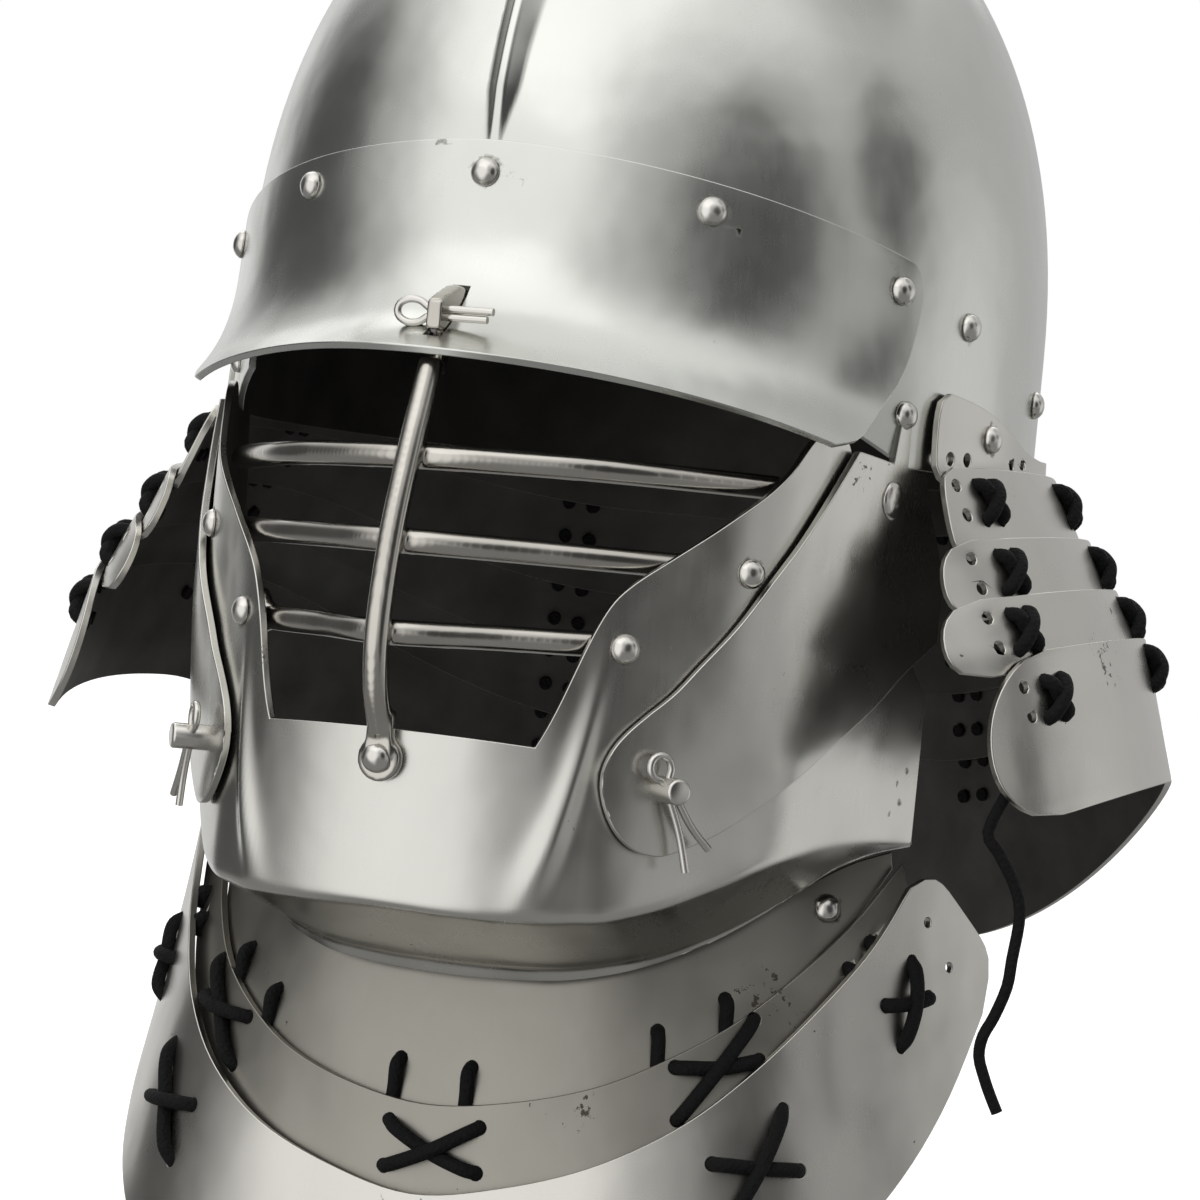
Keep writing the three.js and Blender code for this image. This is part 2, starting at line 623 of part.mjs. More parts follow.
function neckLame(lame) {
  const drops = lameDrops(lame);
  const front = NECK_LAMES[lame].front;
  const angles = [];
  for (let column = 0; column <= NECK_ANGLES.intervals; column++) {
    angles.push(lerp(NECK_ANGLES.first, NECK_ANGLES.last, column / NECK_ANGLES.intervals));
  }
  const rowAt = (drop, row, lift) => {
    const end = row === 0 || row === drops.length - 1 ? front + NECK.corner : front;
    return [end, ...angles, 360 - end].map((degrees) => neckPoint(lame, degrees, drop, lift));
  };
  const outer = drops.map((drop, row) => rowAt(drop, row, 0));
  const inner = drops.map((drop, row) => rowAt(drop, row, -PLATE));
  return sheet(outer, inner);
}

// A lacing column: a cross of cord on each lame, joined by a run of cord inside.
function crossOfCord(spot, halfWidth, halfHeight) {
  const tips = [
    [halfWidth, halfHeight],
    [-halfWidth, halfHeight],
    [-halfWidth, -halfHeight],
    [halfWidth, -halfHeight],
  ];
  const notches = [[0, LACE.notch], [-LACE.notch, 0], [0, -LACE.notch], [LACE.notch, 0]];
  const level = (corners, lift) => corners.map(([x, y]) => spot(x, y, lift));
  const rings = [
    level(tips, LACE.seat + CORD), level(notches, LACE.seat + CORD),
    level(tips, LACE.seat), level(notches, LACE.seat), level(notches, -LACE.depth),
  ];
  const faces = [4, 5, 6, 4, 6, 7, 16, 18, 17, 16, 19, 18];
  for (let arm = 0; arm < 4; arm++) {
    const before = (arm + 3) % 4;
    faces.push(arm, 4 + arm, 4 + before, 8 + arm, 12 + before, 12 + arm);
    faces.push(arm, 8 + arm, 12 + arm, arm, 12 + arm, 4 + arm);
    faces.push(4 + before, 12 + before, 8 + arm, 4 + before, 8 + arm, arm);
    faces.push(12 + before, 16 + before, 16 + arm, 12 + before, 16 + arm, 12 + arm);
  }
  const geometry = new THREE.BufferGeometry().setFromPoints(rings.flat());
  geometry.setIndex(faces);
  return solid(geometry);
}

function lacingColumn(spots, sizes) {
  const crosses = spots.map((spot, index) => {
    const { halfWidth, halfHeight } = sizes[index];
    return crossOfCord(spot, halfWidth, halfHeight);
  });
  const runs = spots.slice(1).map((spot, index) => {
    const from = spots[index](0, 0, -LACE.depth + CORD / 2);
    return rod(from, spot(0, 0, -LACE.depth + CORD / 2), CORD / 2, 4);
  });
  return [...crosses, ...runs].reduce((whole, piece) => whole.add(piece));
}

function holeAt(spot, radius) {
  return rod(spot(0, 0, -4), spot(0, 0, 4), radius, 4);
}

function neckSpot(lame, degrees, drop) {
  const middle = neckPoint(lame, degrees, drop, 0);
  const aside = neckPoint(lame, degrees + 1, drop, 0).sub(middle).normalize();
  const down = neckPoint(lame, degrees, drop + 0.02, 0).sub(middle).normalize();
  const outward = down.clone().cross(aside).normalize();
  return (x, y, lift) => {
    const spot = middle.clone().addScaledVector(aside, x).addScaledVector(down, y);
    return spot.addScaledVector(outward, lift);
  };
}

function throatRows(lame) {
  const { top, bottom, rows } = THROAT_LAMES[lame];
  const edge = (table) => {
    const left = table.map(([x, forward, height]) => place(x, forward, height));
    const right = opposite(left.slice(1)).reverse();
    const curve = new THREE.CatmullRomCurve3([...right, ...left]);
    return curve.getPoints(THROAT_COLUMNS);
  };
  const [upper, lower] = [edge(THROAT_EDGES[top]), edge(THROAT_EDGES[bottom])];
  const grid = [];
  for (let row = 0; row <= rows; row++) {
    grid.push(upper.map((point, column) => point.clone().lerp(lower[column], row / rows)));
  }
  return grid;
}

function throatSpot(rows, along, share) {
  const columnShare = (share + 1) / 2;
  const middle = sheetPoint(rows, along, columnShare, 0);
  const width = sheetPoint(rows, along, columnShare + 0.01, 0).distanceTo(middle) / 0.01;
  const height = sheetPoint(rows, along + 0.01, columnShare, 0).distanceTo(middle) / 0.01;
  return (x, y, lift) => sheetPoint(rows, along + y / height, columnShare + x / width, lift);
}

// The plates before they are drilled.
const faceCut = box(FACE_CUT.halfWidth, FACE_CUT.rear, FACE_CUT.front, FACE_CUT.floor, FACE_CUT.top);
const plates = {
  skull: skullBowl().subtract(faceCut).add(keelRidge()),
  brow_plate: thickened(browRows()),
  face_plate: facePlate(),
  grille: grilleWelded(),
  side_plate_left: sidePlate(),
};
plates.side_plate_right = mirrored(plates.side_plate_left);
const slotHalf = TANG.thickness / 2 + TANG.slotClearance;
const tangSlot = box(slotHalf, FACE_CUT.rear, TANG.slotFront, TANG.slotLow, TANG.slotHigh);
plates.brow_plate = plates.brow_plate.subtract(tangSlot);
NECK_LAMES.forEach((row, lame) => {
  plates[`neck_lame_${lame + 1}`] = neckLame(lame);
});
const throatSheets = THROAT_LAMES.map((row, lame) => throatRows(lame));
throatSheets.forEach((rows, lame) => {
  plates[`throat_lame_${lame + 1}`] = thickened(rows);
});

// Rivets: the plate each head sits on, where it is, and the plates that its shank passes.
const RIVETS = [
  { name: 'brow_middle', on: 'brow_plate', at: [0, 123.6, 52.3], through: ['skull'], shank: 5.2 },
  { name: 'brow_front', on: 'brow_plate', at: [54.1, 105.9, 47.7], through: ['skull'], shank: 5.2, pair: true },
  { name: 'brow_rear', on: 'brow_plate', at: [91.3, 64.9, 36.7], through: ['skull'], shank: 5.2, pair: true },
  { name: 'skull_front', on: 'skull', at: [100.2, 35, 28.8], through: [], shank: 3, pair: true },
  { name: 'skull_rear', on: 'skull', at: [103.4, -19, 15.4], through: [], shank: 3, pair: true },
  { name: 'skull_side', on: 'skull', at: [92.9, 55.8, 3.4], through: ['side_plate'], shank: 6.4, pair: true },
  { name: 'neck', on: 'neck_lame_1', at: [103.5, 18.4, 1.5], through: ['skull'], shank: 5.2, pair: true },
  { name: 'side_plate', on: 'side_plate', at: [90.4, 61.1, -20], through: [], shank: 3, pair: true, flat: true },
  { name: 'face_upper', on: 'face_plate', at: [72.6, 104.6, -39.4], through: ['grille'], shank: 5.4, pair: true },
  { name: 'face_lower', on: 'face_plate', at: [50.6, 127.4, -60.4], through: ['grille'], shank: 5.4, pair: true },
  { name: 'chin', on: 'grille', at: [0, 152, EYE.height], through: ['face_plate'], shank: 6.6 },
  { name: 'throat', on: 'throat_lame_1', at: [83.2, 50.8, -123.5], through: [], shank: 3, pair: true },
];

const fasteners = {};
for (const row of RIVETS) {
  for (const side of row.pair ? [1, -1] : [1]) {
    const sideName = side > 0 ? 'left' : 'right';
    const plateName = row.on === 'side_plate' ? `side_plate_${sideName}` : row.on;
    const aim = place(...row.at);
    aim.x *= side;
    const outward = new THREE.Vector3(aim.x, aim.y, 0).normalize();
    const seat = seatOn(plates[plateName], aim.clone().addScaledVector(outward, 40), aim);
    const name = row.pair ? `rivet_${row.name}_${sideName}` : `rivet_${row.name}`;
    fasteners[name] = rivet(seat, row.flat ? FLAT_RIVET : RIVET, row.shank);
    const hole = drill(seat, RIVET.hole, 4, row.shank + 3);
    plates[plateName] = plates[plateName].subtract(hole);
    for (const through of row.through) {
      const throughName = through === 'side_plate' ? `side_plate_${sideName}` : through;
      plates[throughName] = plates[throughName].subtract(hole);
    }
  }
}

// Lock studs of the face plate come out through the side plates, and split pins hold them.
const studAim = wallPoint(4.62, -90.3, PLATE + WELD_GAP);
for (const side of [1, -1]) {
  const sideName = side > 0 ? 'left' : 'right';
  const aim = new THREE.Vector3(side * studAim.x, studAim.y, studAim.z);
  const outward = new THREE.Vector3(aim.x, aim.y, 0).normalize();
  const seat = seatOn(plates[`side_plate_${sideName}`], aim.clone().addScaledVector(outward, 40), aim);
  const tip = seat.point.clone().addScaledVector(seat.normal, STUD.outside);
  const root = seat.point.clone().addScaledVector(seat.normal, -2 * PLATE - GAP - STUD.inside);
  const hole = drill(seat, STUD.hole, 8, STUD.outside);
  plates.face_plate = plates.face_plate.subtract(hole);
  plates[`side_plate_${sideName}`] = plates[`side_plate_${sideName}`].subtract(hole);
  const down = new THREE.Vector3(0, 0, -1);
  const rearward = new THREE.Vector3(0, 1, 0).addScaledVector(seat.normal, -seat.normal.y).normalize();
  const along = rearward.multiplyScalar(0.5).addScaledVector(down, 0.85);
  along.addScaledVector(seat.normal, -along.dot(seat.normal)).normalize();
  const across = along.clone().cross(seat.normal).normalize();
  const pinMiddle = seat.point.clone().addScaledVector(seat.normal, STUD.pinHeight);
  const pinHole = drill({ point: pinMiddle, normal: along }, COTTER.hole, 6, COTTER.holeDepth);
  fasteners[`lock_stud_${sideName}`] = rod(root, tip, STUD.radius, 8).subtract(pinHole);
  fasteners[`cotter_pin_${sideName}`] = cotterPin(pinMiddle, along, across, 19, 3);
}
const tangPin = place(0, TANG_PIN.forward, TANG_PIN.height);
const leftward = new THREE.Vector3(1, 0, 0);
const tangHole = drill({ point: tangPin, normal: leftward }, COTTER.hole, 6, COTTER.holeDepth);
plates.grille = plates.grille.subtract(tangHole);
fasteners.cotter_pin_top = cotterPin(tangPin, leftward, new THREE.Vector3(0, 0, 1), 15, 0);

// Lacing of the neck and throat lames, with the holes that it passes and the spare holes at the lame ends.
const laces = {};
for (const [name, degrees] of Object.entries(LACE_ANGLES)) {
  const spots = [];
  for (let lame = 1; lame < NECK_LAMES.length; lame++) {
    const spot = neckSpot(lame, degrees, NECK_LAMES[lame].top + NECK_CROSS.drop);
    plates[`neck_lame_${lame + 1}`] = plates[`neck_lame_${lame + 1}`].subtract(holeAt(spot, LACE.hole));
    spots.push(spot);
  }
  laces[`neck_lacing_${name}`] = lacingColumn(spots, spots.map(() => NECK_CROSS));
}
for (let lame = 1; lame < NECK_LAMES.length; lame++) {
  const { top, front } = NECK_LAMES[lame];
  END_HOLE.drops.forEach((drop, index) => {
    for (const degrees of [front + END_HOLE.angles[index], 360 - front - END_HOLE.angles[index]]) {
      const hole = holeAt(neckSpot(lame, degrees, top + drop), END_HOLE.radius);
      plates[`neck_lame_${lame + 1}`] = plates[`neck_lame_${lame + 1}`].subtract(hole);
    }
  });
}
for (const { name, share, from } of THROAT_LACES) {
  const crosses = THROAT_CROSSES.slice(from);
  const spots = crosses.map((cross) => throatSpot(throatSheets[cross.lame], cross.along, share));
  crosses.forEach((cross, index) => {
    const plateName = `throat_lame_${cross.lame + 1}`;
    plates[plateName] = plates[plateName].subtract(holeAt(spots[index], LACE.hole));
  });
  laces[`throat_lacing_${name}`] = lacingColumn(spots, crosses);
}
for (const hole of THROAT_HOLES) {
  for (const side of [1, -1]) {
    const spot = throatSpot(throatSheets[2], hole.along, side * hole.share);
    plates.throat_lame_3 = plates.throat_lame_3.subtract(holeAt(spot, END_HOLE.radius));
  }
}
const tailPoints = TAIL_ROUTE.map(([x, forward, height]) => place(x, forward, height));
laces.lace_tail = tube(tailPoints, TAIL_RADIUS, 6, 18);

for (const [name, body] of Object.entries({ ...plates, ...fasteners })) {
  add(name, body, steelLook);
}
for (const [name, body] of Object.entries(laces)) {
  add(name, body, cordLook);
}

export default helmet;
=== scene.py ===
import bisect
import math

import bmesh
import bpy
from mathutils import Matrix, Vector, noise
from mathutils.bvhtree import BVHTree


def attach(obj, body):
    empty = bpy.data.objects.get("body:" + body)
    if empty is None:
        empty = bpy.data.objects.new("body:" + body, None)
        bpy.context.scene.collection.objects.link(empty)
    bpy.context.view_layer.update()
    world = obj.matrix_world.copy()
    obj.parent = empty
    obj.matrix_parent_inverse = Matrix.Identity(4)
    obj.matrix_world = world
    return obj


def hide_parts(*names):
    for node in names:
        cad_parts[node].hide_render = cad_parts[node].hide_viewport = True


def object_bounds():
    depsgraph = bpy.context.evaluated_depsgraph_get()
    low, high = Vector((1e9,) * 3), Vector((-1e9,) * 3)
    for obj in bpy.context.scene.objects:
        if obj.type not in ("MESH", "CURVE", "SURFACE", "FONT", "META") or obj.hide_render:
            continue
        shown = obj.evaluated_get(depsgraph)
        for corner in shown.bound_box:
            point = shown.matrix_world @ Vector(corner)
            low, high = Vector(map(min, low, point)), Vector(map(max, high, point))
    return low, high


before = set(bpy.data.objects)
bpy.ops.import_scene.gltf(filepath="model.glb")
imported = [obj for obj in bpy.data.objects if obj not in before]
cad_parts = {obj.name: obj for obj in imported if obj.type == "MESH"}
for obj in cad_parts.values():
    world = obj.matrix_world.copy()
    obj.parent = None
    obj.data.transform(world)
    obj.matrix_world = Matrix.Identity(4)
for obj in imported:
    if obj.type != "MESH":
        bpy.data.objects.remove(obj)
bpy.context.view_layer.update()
scene = bpy.context.scene
print("frame loaded:", len(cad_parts), "solids")

# tables are in millimetres: x to the wearer's left, forward from the middle of the skull, height from the brow line
crownInside = 160.6


def place(x, forward, height):
    return Vector((x, -forward, height - crownInside)) * 0.001


def mix(a, b, share):
    return a + (b - a) * share


def ease(share):
    share = min(max(share, 0.0), 1.0)
    return share * share * (3 - 2 * share)


def rowBefore(rows, at):
    return min(max(bisect.bisect_right([row[0] for row in rows], at) - 1, 0), len(rows) - 2)


def between(rows, at):  # straight runs through rows of (key, values...)
    index = rowBefore(rows, at)
    low, high = rows[index], rows[index + 1]
    share = (at - low[0]) / (high[0] - low[0])
    return [mix(a, b, share) for a, b in zip(low[1:], high[1:])]


def fairCurve(rows, at):  # a fair curve through rows of (key, values...)
    index = rowBefore(rows, at)
    before, start = rows[max(index - 1, 0)], rows[index]
    end, after = rows[index + 1], rows[min(index + 2, len(rows) - 1)]
    span = end[0] - start[0]
    t = (at - start[0]) / span
    values = []
    for a, b, c, d in zip(before[1:], start[1:], end[1:], after[1:]):
        slopeIn = (c - a) / (end[0] - before[0]) * span
        slopeOut = (d - b) / (after[0] - start[0]) * span
        values.append(
            (2 * t**3 - 3 * t**2 + 1) * b + (t**3 - 2 * t**2 + t) * slopeIn
            + (3 * t**2 - 2 * t**3) * c + (t**3 - t**2) * slopeOut
        )
    return values


# camera at the photograph's angle
cameraView = {
    "azimuth": 21.2, "roll": 5.6, "distance": 1263.4, "right": -10.75, "up": -48.4,
    "lens": 141.0, "sensor": 36.0, "near": 0.05,
}


def makeCamera():
    turn, roll = math.radians(cameraView["azimuth"]), math.radians(cameraView["roll"])
    back = Vector((math.sin(turn), -math.cos(turn), 0))
    level, plumb = Vector((math.cos(turn), math.sin(turn), 0)), Vector((0, 0, 1))
    right = level * math.cos(roll) + plumb * math.sin(roll)
    up = plumb * math.cos(roll) - level * math.sin(roll)
    spot = back * cameraView["distance"] + right * cameraView["right"] + up * cameraView["up"]
    data = bpy.data.cameras.new("camera")
    data.sensor_width = cameraView["sensor"]
    data.lens = cameraView["lens"]
    data.clip_start = cameraView["near"]
    camera = bpy.data.objects.new("camera", data)
    camera.matrix_world = Matrix.Translation(place(spot.x, -spot.y, spot.z)) @ Matrix(
        (right, up, back)
    ).transposed().to_4x4()
    scene.collection.objects.link(camera)
    scene.camera = camera


makeCamera()
print("camera set")


# materials

def linear(hexText):
    values = [int(hexText[i : i + 2], 16) / 255 for i in (1, 3, 5)]
    return [v / 12.92 if v <= 0.04045 else ((v + 0.055) / 1.055) ** 2.4 for v in values] + [1.0]


def addNode(tree, kind, links=None, **settings):
    node = tree.nodes.new(kind)
    for key, value in settings.items():
        setattr(node, key, value)
    for key, value in (links or {}).items():
        if isinstance(value, bpy.types.NodeSocket):
            tree.links.new(value, node.inputs[key])
        else:
            node.inputs[key].default_value = value
    return node


def newMaterial(name):
    material = bpy.data.materials.new(name)
    material.use_nodes = True
    tree = material.node_tree
    return material, tree, tree.nodes["Principled BSDF"], addNode(tree, "ShaderNodeTexCoord").outputs["Object"]


# satin-polished mild steel plate: bright, a little hazy and uneven from planishing, with dark pits, and soot by the rivets
steelNoise = {  # size in millimetres, detail, roughness
    "haze": (38, 3.0, 0.55), "grain": (1.1, 4.0, 0.5), "planish": (24, 1.5, 0.5), "pit": (2.6, 3.0, 0.7),
    "pitPatch": (30, 2.0, 0.5), "soot": (4.5, 4.0, 0.65),
}


def polishedSteel(name, bright, dull, rough, wave, pits):
    material, tree, shader, spot = newMaterial(name)
    shader.inputs["Metallic"].default_value = 1.0
    slant, squeeze = (0.1, 0.06, 0.3), (1.0, 1.0, 0.12)
    stretch = addNode(tree, "ShaderNodeMapping", {"Vector": spot, "Rotation": slant, "Scale": squeeze})
    field = {}
    for key, (size, detail, roughness) in steelNoise.items():
        links = {"Vector": stretch.outputs["Vector"] if key == "grain" else spot, "Scale": 1000.0 / size}
        links.update({"Detail": detail, "Roughness": roughness})
        field[key] = addNode(tree, "ShaderNodeTexNoise", links).outputs["Fac"]
    pitLevel = addNode(tree, "ShaderNodeMath", {0: field["pit"], 1: field["pitPatch"]}, operation="MULTIPLY")
    pitEdge = {"Value": pitLevel.outputs[0], "From Min": pits, "From Max": pits + 0.03, "To Max": 0.75}
    pitMask = addNode(tree, "ShaderNodeMapRange", pitEdge).outputs["Result"]
    soot = addNode(tree, "ShaderNodeAttribute", attribute_name="soot")
    sootLevel = addNode(tree, "ShaderNodeMath", {0: soot.outputs["Fac"], 1: field["soot"]}, operation="MULTIPLY")
    sootEdge = {"Value": sootLevel.outputs[0], "From Min": 0.4, "From Max": 0.62}
    sootMask = addNode(tree, "ShaderNodeMapRange", sootEdge).outputs["Result"]
    stain = addNode(tree, "ShaderNodeMath", {0: pitMask, 1: sootMask}, operation="MAXIMUM").outputs[0]
    clean = addNode(tree, "ShaderNodeMix", {"Factor": field["haze"]}, data_type="RGBA")
    clean.inputs["A"].default_value = linear(dull)
    clean.inputs["B"].default_value = linear(bright)
    colour = addNode(tree, "ShaderNodeMix", {"Factor": stain}, data_type="RGBA")
    tree.links.new(clean.outputs["Result"], colour.inputs["A"])
    colour.inputs["B"].default_value = linear("#38322b")
    tree.links.new(colour.outputs["Result"], shader.inputs["Base Color"])
    hazeEdge = {"Value": field["haze"], "From Min": 0.3, "From Max": 0.7}
    hazeEdge.update({"To Min": rough - 0.05, "To Max": rough + 0.06})
    hazeRough = addNode(tree, "ShaderNodeMapRange", hazeEdge).outputs["Result"]
    roughness = hazeRough
    for height, share in ((field["grain"], 0.05), (stain, 0.35)):
        more = addNode(tree, "ShaderNodeMath", {0: height, 1: share, 2: roughness}, operation="MULTIPLY_ADD")
        roughness = more.outputs[0]
    tree.links.new(roughness, shader.inputs["Roughness"])
    bump = addNode(tree, "ShaderNodeBump", {"Height": field["planish"], "Strength": 1.0, "Distance": wave})
    for height, strength, depth in ((field["grain"], 0.15, 0.00002), (pitMask, 0.5, -0.0001)):
        links = {"Height": height, "Normal": bump.outputs["Normal"], "Strength": strength, "Distance": depth}
        bump = addNode(tree, "ShaderNodeBump", links)
    tree.links.new(bump.outputs["Normal"], shader.inputs["Normal"])
    return material


# the inside of the plates: almost black, with a dull gleam; partly mill scale and oil, partly painted shade standing
# for the shadow inside the hollow shell
def scaledSteelAndShade():
    material, tree, shader, spot = newMaterial("black mill scale and painted shade")
    shader.inputs["Metallic"].default_value = 0.6
    shader.inputs["Roughness"].default_value = 0.55
    patches = addNode(tree, "ShaderNodeTexNoise", {"Vector": spot, "Scale": 1000.0 / 16, "Detail": 4.0})
    colour = addNode(tree, "ShaderNodeMix", {"Factor": patches.outputs["Fac"]}, data_type="RGBA")
    colour.inputs["A"].default_value = linear("#323130")
    colour.inputs["B"].default_value = linear("#64625e")
    tree.links.new(colour.outputs["Result"], shader.inputs["Base Color"])
    return material


# black braided polyester cord: matt, with a fine over-and-under braid drawn a little coarse so that it shows
def braidedCord():
    material, tree, shader, spot = newMaterial("black braided polyester cord")
    shader.inputs["Roughness"].default_value = 0.85
    shader.inputs["Specular IOR Level"].default_value = 0.25
    braid = addNode(tree, "ShaderNodeTexVoronoi", {"Vector": spot, "Scale": 1000.0 / 1.1})
    fuzz = addNode(tree, "ShaderNodeTexNoise", {"Vector": spot, "Scale": 1000.0 / 0.5, "Detail": 3.0})
    colour = addNode(tree, "ShaderNodeMix", {"Factor": fuzz.outputs["Fac"]}, data_type="RGBA")
    colour.inputs["A"].default_value = linear("#030303")
    colour.inputs["B"].default_value = linear("#101010")
    tree.links.new(colour.outputs["Result"], shader.inputs["Base Color"])
    bump = addNode(tree, "ShaderNodeBump", {"Height": braid.outputs["Distance"], "Strength": 0.9, "Distance": 0.0004})
    tree.links.new(bump.outputs["Normal"], shader.inputs["Normal"])
    return material


plateSteel = polishedSteel("satin mild steel", "#d0d1cc", "#bebfb9", 0.22, wave=0.0007, pits=0.5)
cheekSteel = polishedSteel("satin mild steel of the cheeks", "#cfcec8", "#b8b7b1", 0.24, wave=0.0007, pits=0.44)
lameSteel = polishedSteel("satin mild steel of the neck lames", "#cfcdc7", "#b9b7b0", 0.27, wave=0.0005, pits=0.44)
throatSteel = polishedSteel("pitted mild steel of the throat lames", "#a09d95", "#807d76", 0.36, wave=0.0007, pits=0.41)
rivetSteel = polishedSteel("bright rivet steel", "#d9d7d2", "#b9b6b0", 0.2, wave=0.0004, pits=0.48)
barSteel = polishedSteel("polished round bar", "#c9c6bf", "#a19d95", 0.17, wave=0.0002, pits=0.5)
# inner faces: dark mill scale with the shell's inner shadow painted into the colour
insideScaleAndShade = scaledSteelAndShade()
cordBlack = braidedCord()
print("materials made")


# building helpers

def finishPiece(name, bm, materials, node):
    mesh = bpy.data.meshes.new(name)
    for face in bm.faces:
        face.smooth = True
    bm.to_mesh(mesh)
    bm.free()
    return finishMesh(name, mesh, materials, node)


def finishMesh(name, mesh, materials, node):
    piece = bpy.data.objects.new(name, mesh)
    for material in materials:
        mesh.materials.append(material)
    scene.collection.objects.link(piece)
    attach(piece, "root")
    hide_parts(node)
    return piece


def plateFrom(bm, columns, rows, spotAt):  # a grid laid on a surface, its faces turned outwards
    made = bmesh.ops.create_grid(bm, x_segments=columns, y_segments=rows, size=1)["verts"]
    for vert in made:
        vert.co = spotAt((vert.co.x + 1) / 2, (1 - vert.co.y) / 2)
    faces = list({face for vert in made for face in vert.link_faces})
    for face in faces:
        face.normal_update()
    outward = sum(face.normal.dot(face.calc_center_median() * Vector((1, 1, 0))) for face in faces)
    if outward < 0:
        bmesh.ops.reverse_faces(bm, faces=faces)
    return faces


def punch(bm, spot, radius):  # a round hole through the sheet; the grid round it gives way a little
    bm.verts.ensure_lookup_table()
    vert = min((v for v in bm.verts if not v.is_boundary), key=lambda v: (v.co - spot).length_squared)
    shift = spot - vert.co
    for other in {other for face in vert.link_faces for other in face.verts if not other.is_boundary}:
        other.co += shift * 0.5
    vert.co = spot
    made = bmesh.ops.bevel(
        bm, geom=[vert], offset=radius, offset_type="OFFSET", segments=1, profile=0.5,
        affect="VERTICES", material=-1, clamp_overlap=True,
    )
    cap = made["faces"]
    bmesh.ops.bisect_edges(bm, edges=[edge for face in cap for edge in face.edges], cuts=3)
    for corner in {corner for face in cap for corner in face.verts}:
        corner.co = spot + (corner.co - spot).normalized() * radius
    bmesh.ops.delete(bm, geom=cap, context="FACES")


def thicken(piece, thickness=0.002, edge=0.00035):
    wall = piece.modifiers.new("wall", "SOLIDIFY")
    wall.thickness = thickness
    wall.offset = -1
    wall.use_even_offset = True
    # the inner faces take the second material, dark scale with painted shade
    wall.material_offset = 1
    bevel = piece.modifiers.new("edge", "BEVEL")
    bevel.width = edge
    bevel.segments = 2
    bevel.limit_method = "ANGLE"
    bevel.angle_limit = math.radians(50)
    bevel.use_clamp_overlap = False
    bevel.harden_normals = True
    return piece


def finishPlate(name, bm, steel, node):  # bright outside, scale and painted shade inside
    return thicken(finishPiece(name, bm, [steel, insideScaleAndShade], node))


def smoothLine(path, step):  # a fair line through points, sampled evenly
    rows, length = [(0.0, *path[0])], 0.0
    for start, end in zip(path, path[1:]):
        length += (end - start).length
        rows.append((length, *end))
    count = max(round(length / step), 2)
    return [fairCurve(rows, length * i / count) for i in range(count + 1)]


def wireCurve(name, lines, radius, resolution):  # round wire or cord along lists of points
    data = bpy.data.curves.new(name, "CURVE")
    data.dimensions = "3D"
    data.bevel_depth = radius
    data.bevel_resolution = resolution
    data.use_fill_caps = True
    for line in lines:
        spline = data.splines.new("POLY")
        spline.points.add(len(line) - 1)
        for point, spot in zip(spline.points, line):
            point.co = (*spot, 1)
        spline.use_smooth = True
    return data


def wireMesh(name, paths, radius, step=0.0009, resolution=4):
    data = wireCurve(name, [smoothLine(path, step) for path in paths], radius, resolution)
    holder = bpy.data.objects.new(name + "Line", data)
    scene.collection.objects.link(holder)
    mesh = bpy.data.meshes.new_from_object(holder.evaluated_get(bpy.context.evaluated_depsgraph_get()))
    mesh.name = name
    bpy.data.objects.remove(holder)
    for polygon in mesh.polygons:
        polygon.use_smooth = True
    return mesh


# the loose end of the neck lacing
tailRoute = [
    (130.4, 63, -86), (126.6, 64.5, -96.7), (129.6, 63.3, -101.9), (133.1, 61.9, -107.9), (135.2, 61.1, -113.2),
    (135.7, 60.9, -118.6), (134.9, 61.2, -127.5), (134.4, 61.5, -134.3), (132.1, 62.3, -141.9), (130, 63.2, -146.9),
    (129.5, 63.3, -151.9), (131.2, 62.7, -157.1), (132.9, 62, -161.2), (134.9, 61.2, -165.4),
]
tailThickness = 0.003


def makeTail():
    line = [(float(i), *row) for i, row in enumerate(tailRoute)]
    route = [place(*fairCurve(line, i / 3)) for i in range(3 * len(tailRoute) - 2)]
    data = wireCurve("laceTail", [route], tailThickness / 2, 3)
    data.materials.append(cordBlack)
    tail = bpy.data.objects.new("laceTail", data)
    scene.collection.objects.link(tail)
    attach(tail, "root")
    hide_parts("lace_tail")


makeTail()


# skull: an oval bowl with a keel ridge over the crown
skull = {
    "halfWidth": 104.7, "halfLength": 121.0, "domeBase": 24.6, "domeHeight": 138.0, "power": 2.2, "rim": -9.0,
    "slantFrom": 60.0, "slant": 0.72, "wallShare": 0.12, "columns": 120, "rows": 48,
}
ridge = {
    "start": 13.0, "end": 175.0, "toe": 2.4, "growth": 0.137, "height": 8.5, "crest": 0.95, "reach": 13.0,
    "nose": 7.0, "noseStart": 0.2, "flank": 0.72, "foot": 0.9, "hollow": 1.25, "tuck": 0.12, "columns": 36, "rows": 120,
}
faceCut = {"halfWidth": 80.5, "rear": 50.0, "top": 20.0}


def domeShare(height):
    rise = max(height - skull["domeBase"], 0) / skull["domeHeight"]
    return max(1 - rise ** skull["power"], 0) ** (1 / skull["power"])


def ovalRadius(angle):
    return 1 / math.hypot(math.sin(angle) / skull["halfWidth"], math.cos(angle) / skull["halfLength"])


def skullPoint(angle, height, lift):
    radius = ovalRadius(angle) * domeShare(height)
    x, forward = radius * math.sin(angle), radius * math.cos(angle)
    slope = Vector((x / skull["halfWidth"] ** 2, forward / skull["halfLength"] ** 2)).normalized()
    return place(x + slope.x * lift, forward + slope.y * lift, height)


def meridian(angle):
    power = 2 / skull["power"]
    forward, rise = math.cos(angle), max(math.sin(angle), 0)
    reach = math.copysign(abs(forward) ** power * skull["halfLength"], forward)
    return Vector((reach, skull["domeBase"] + rise**power * skull["domeHeight"]))


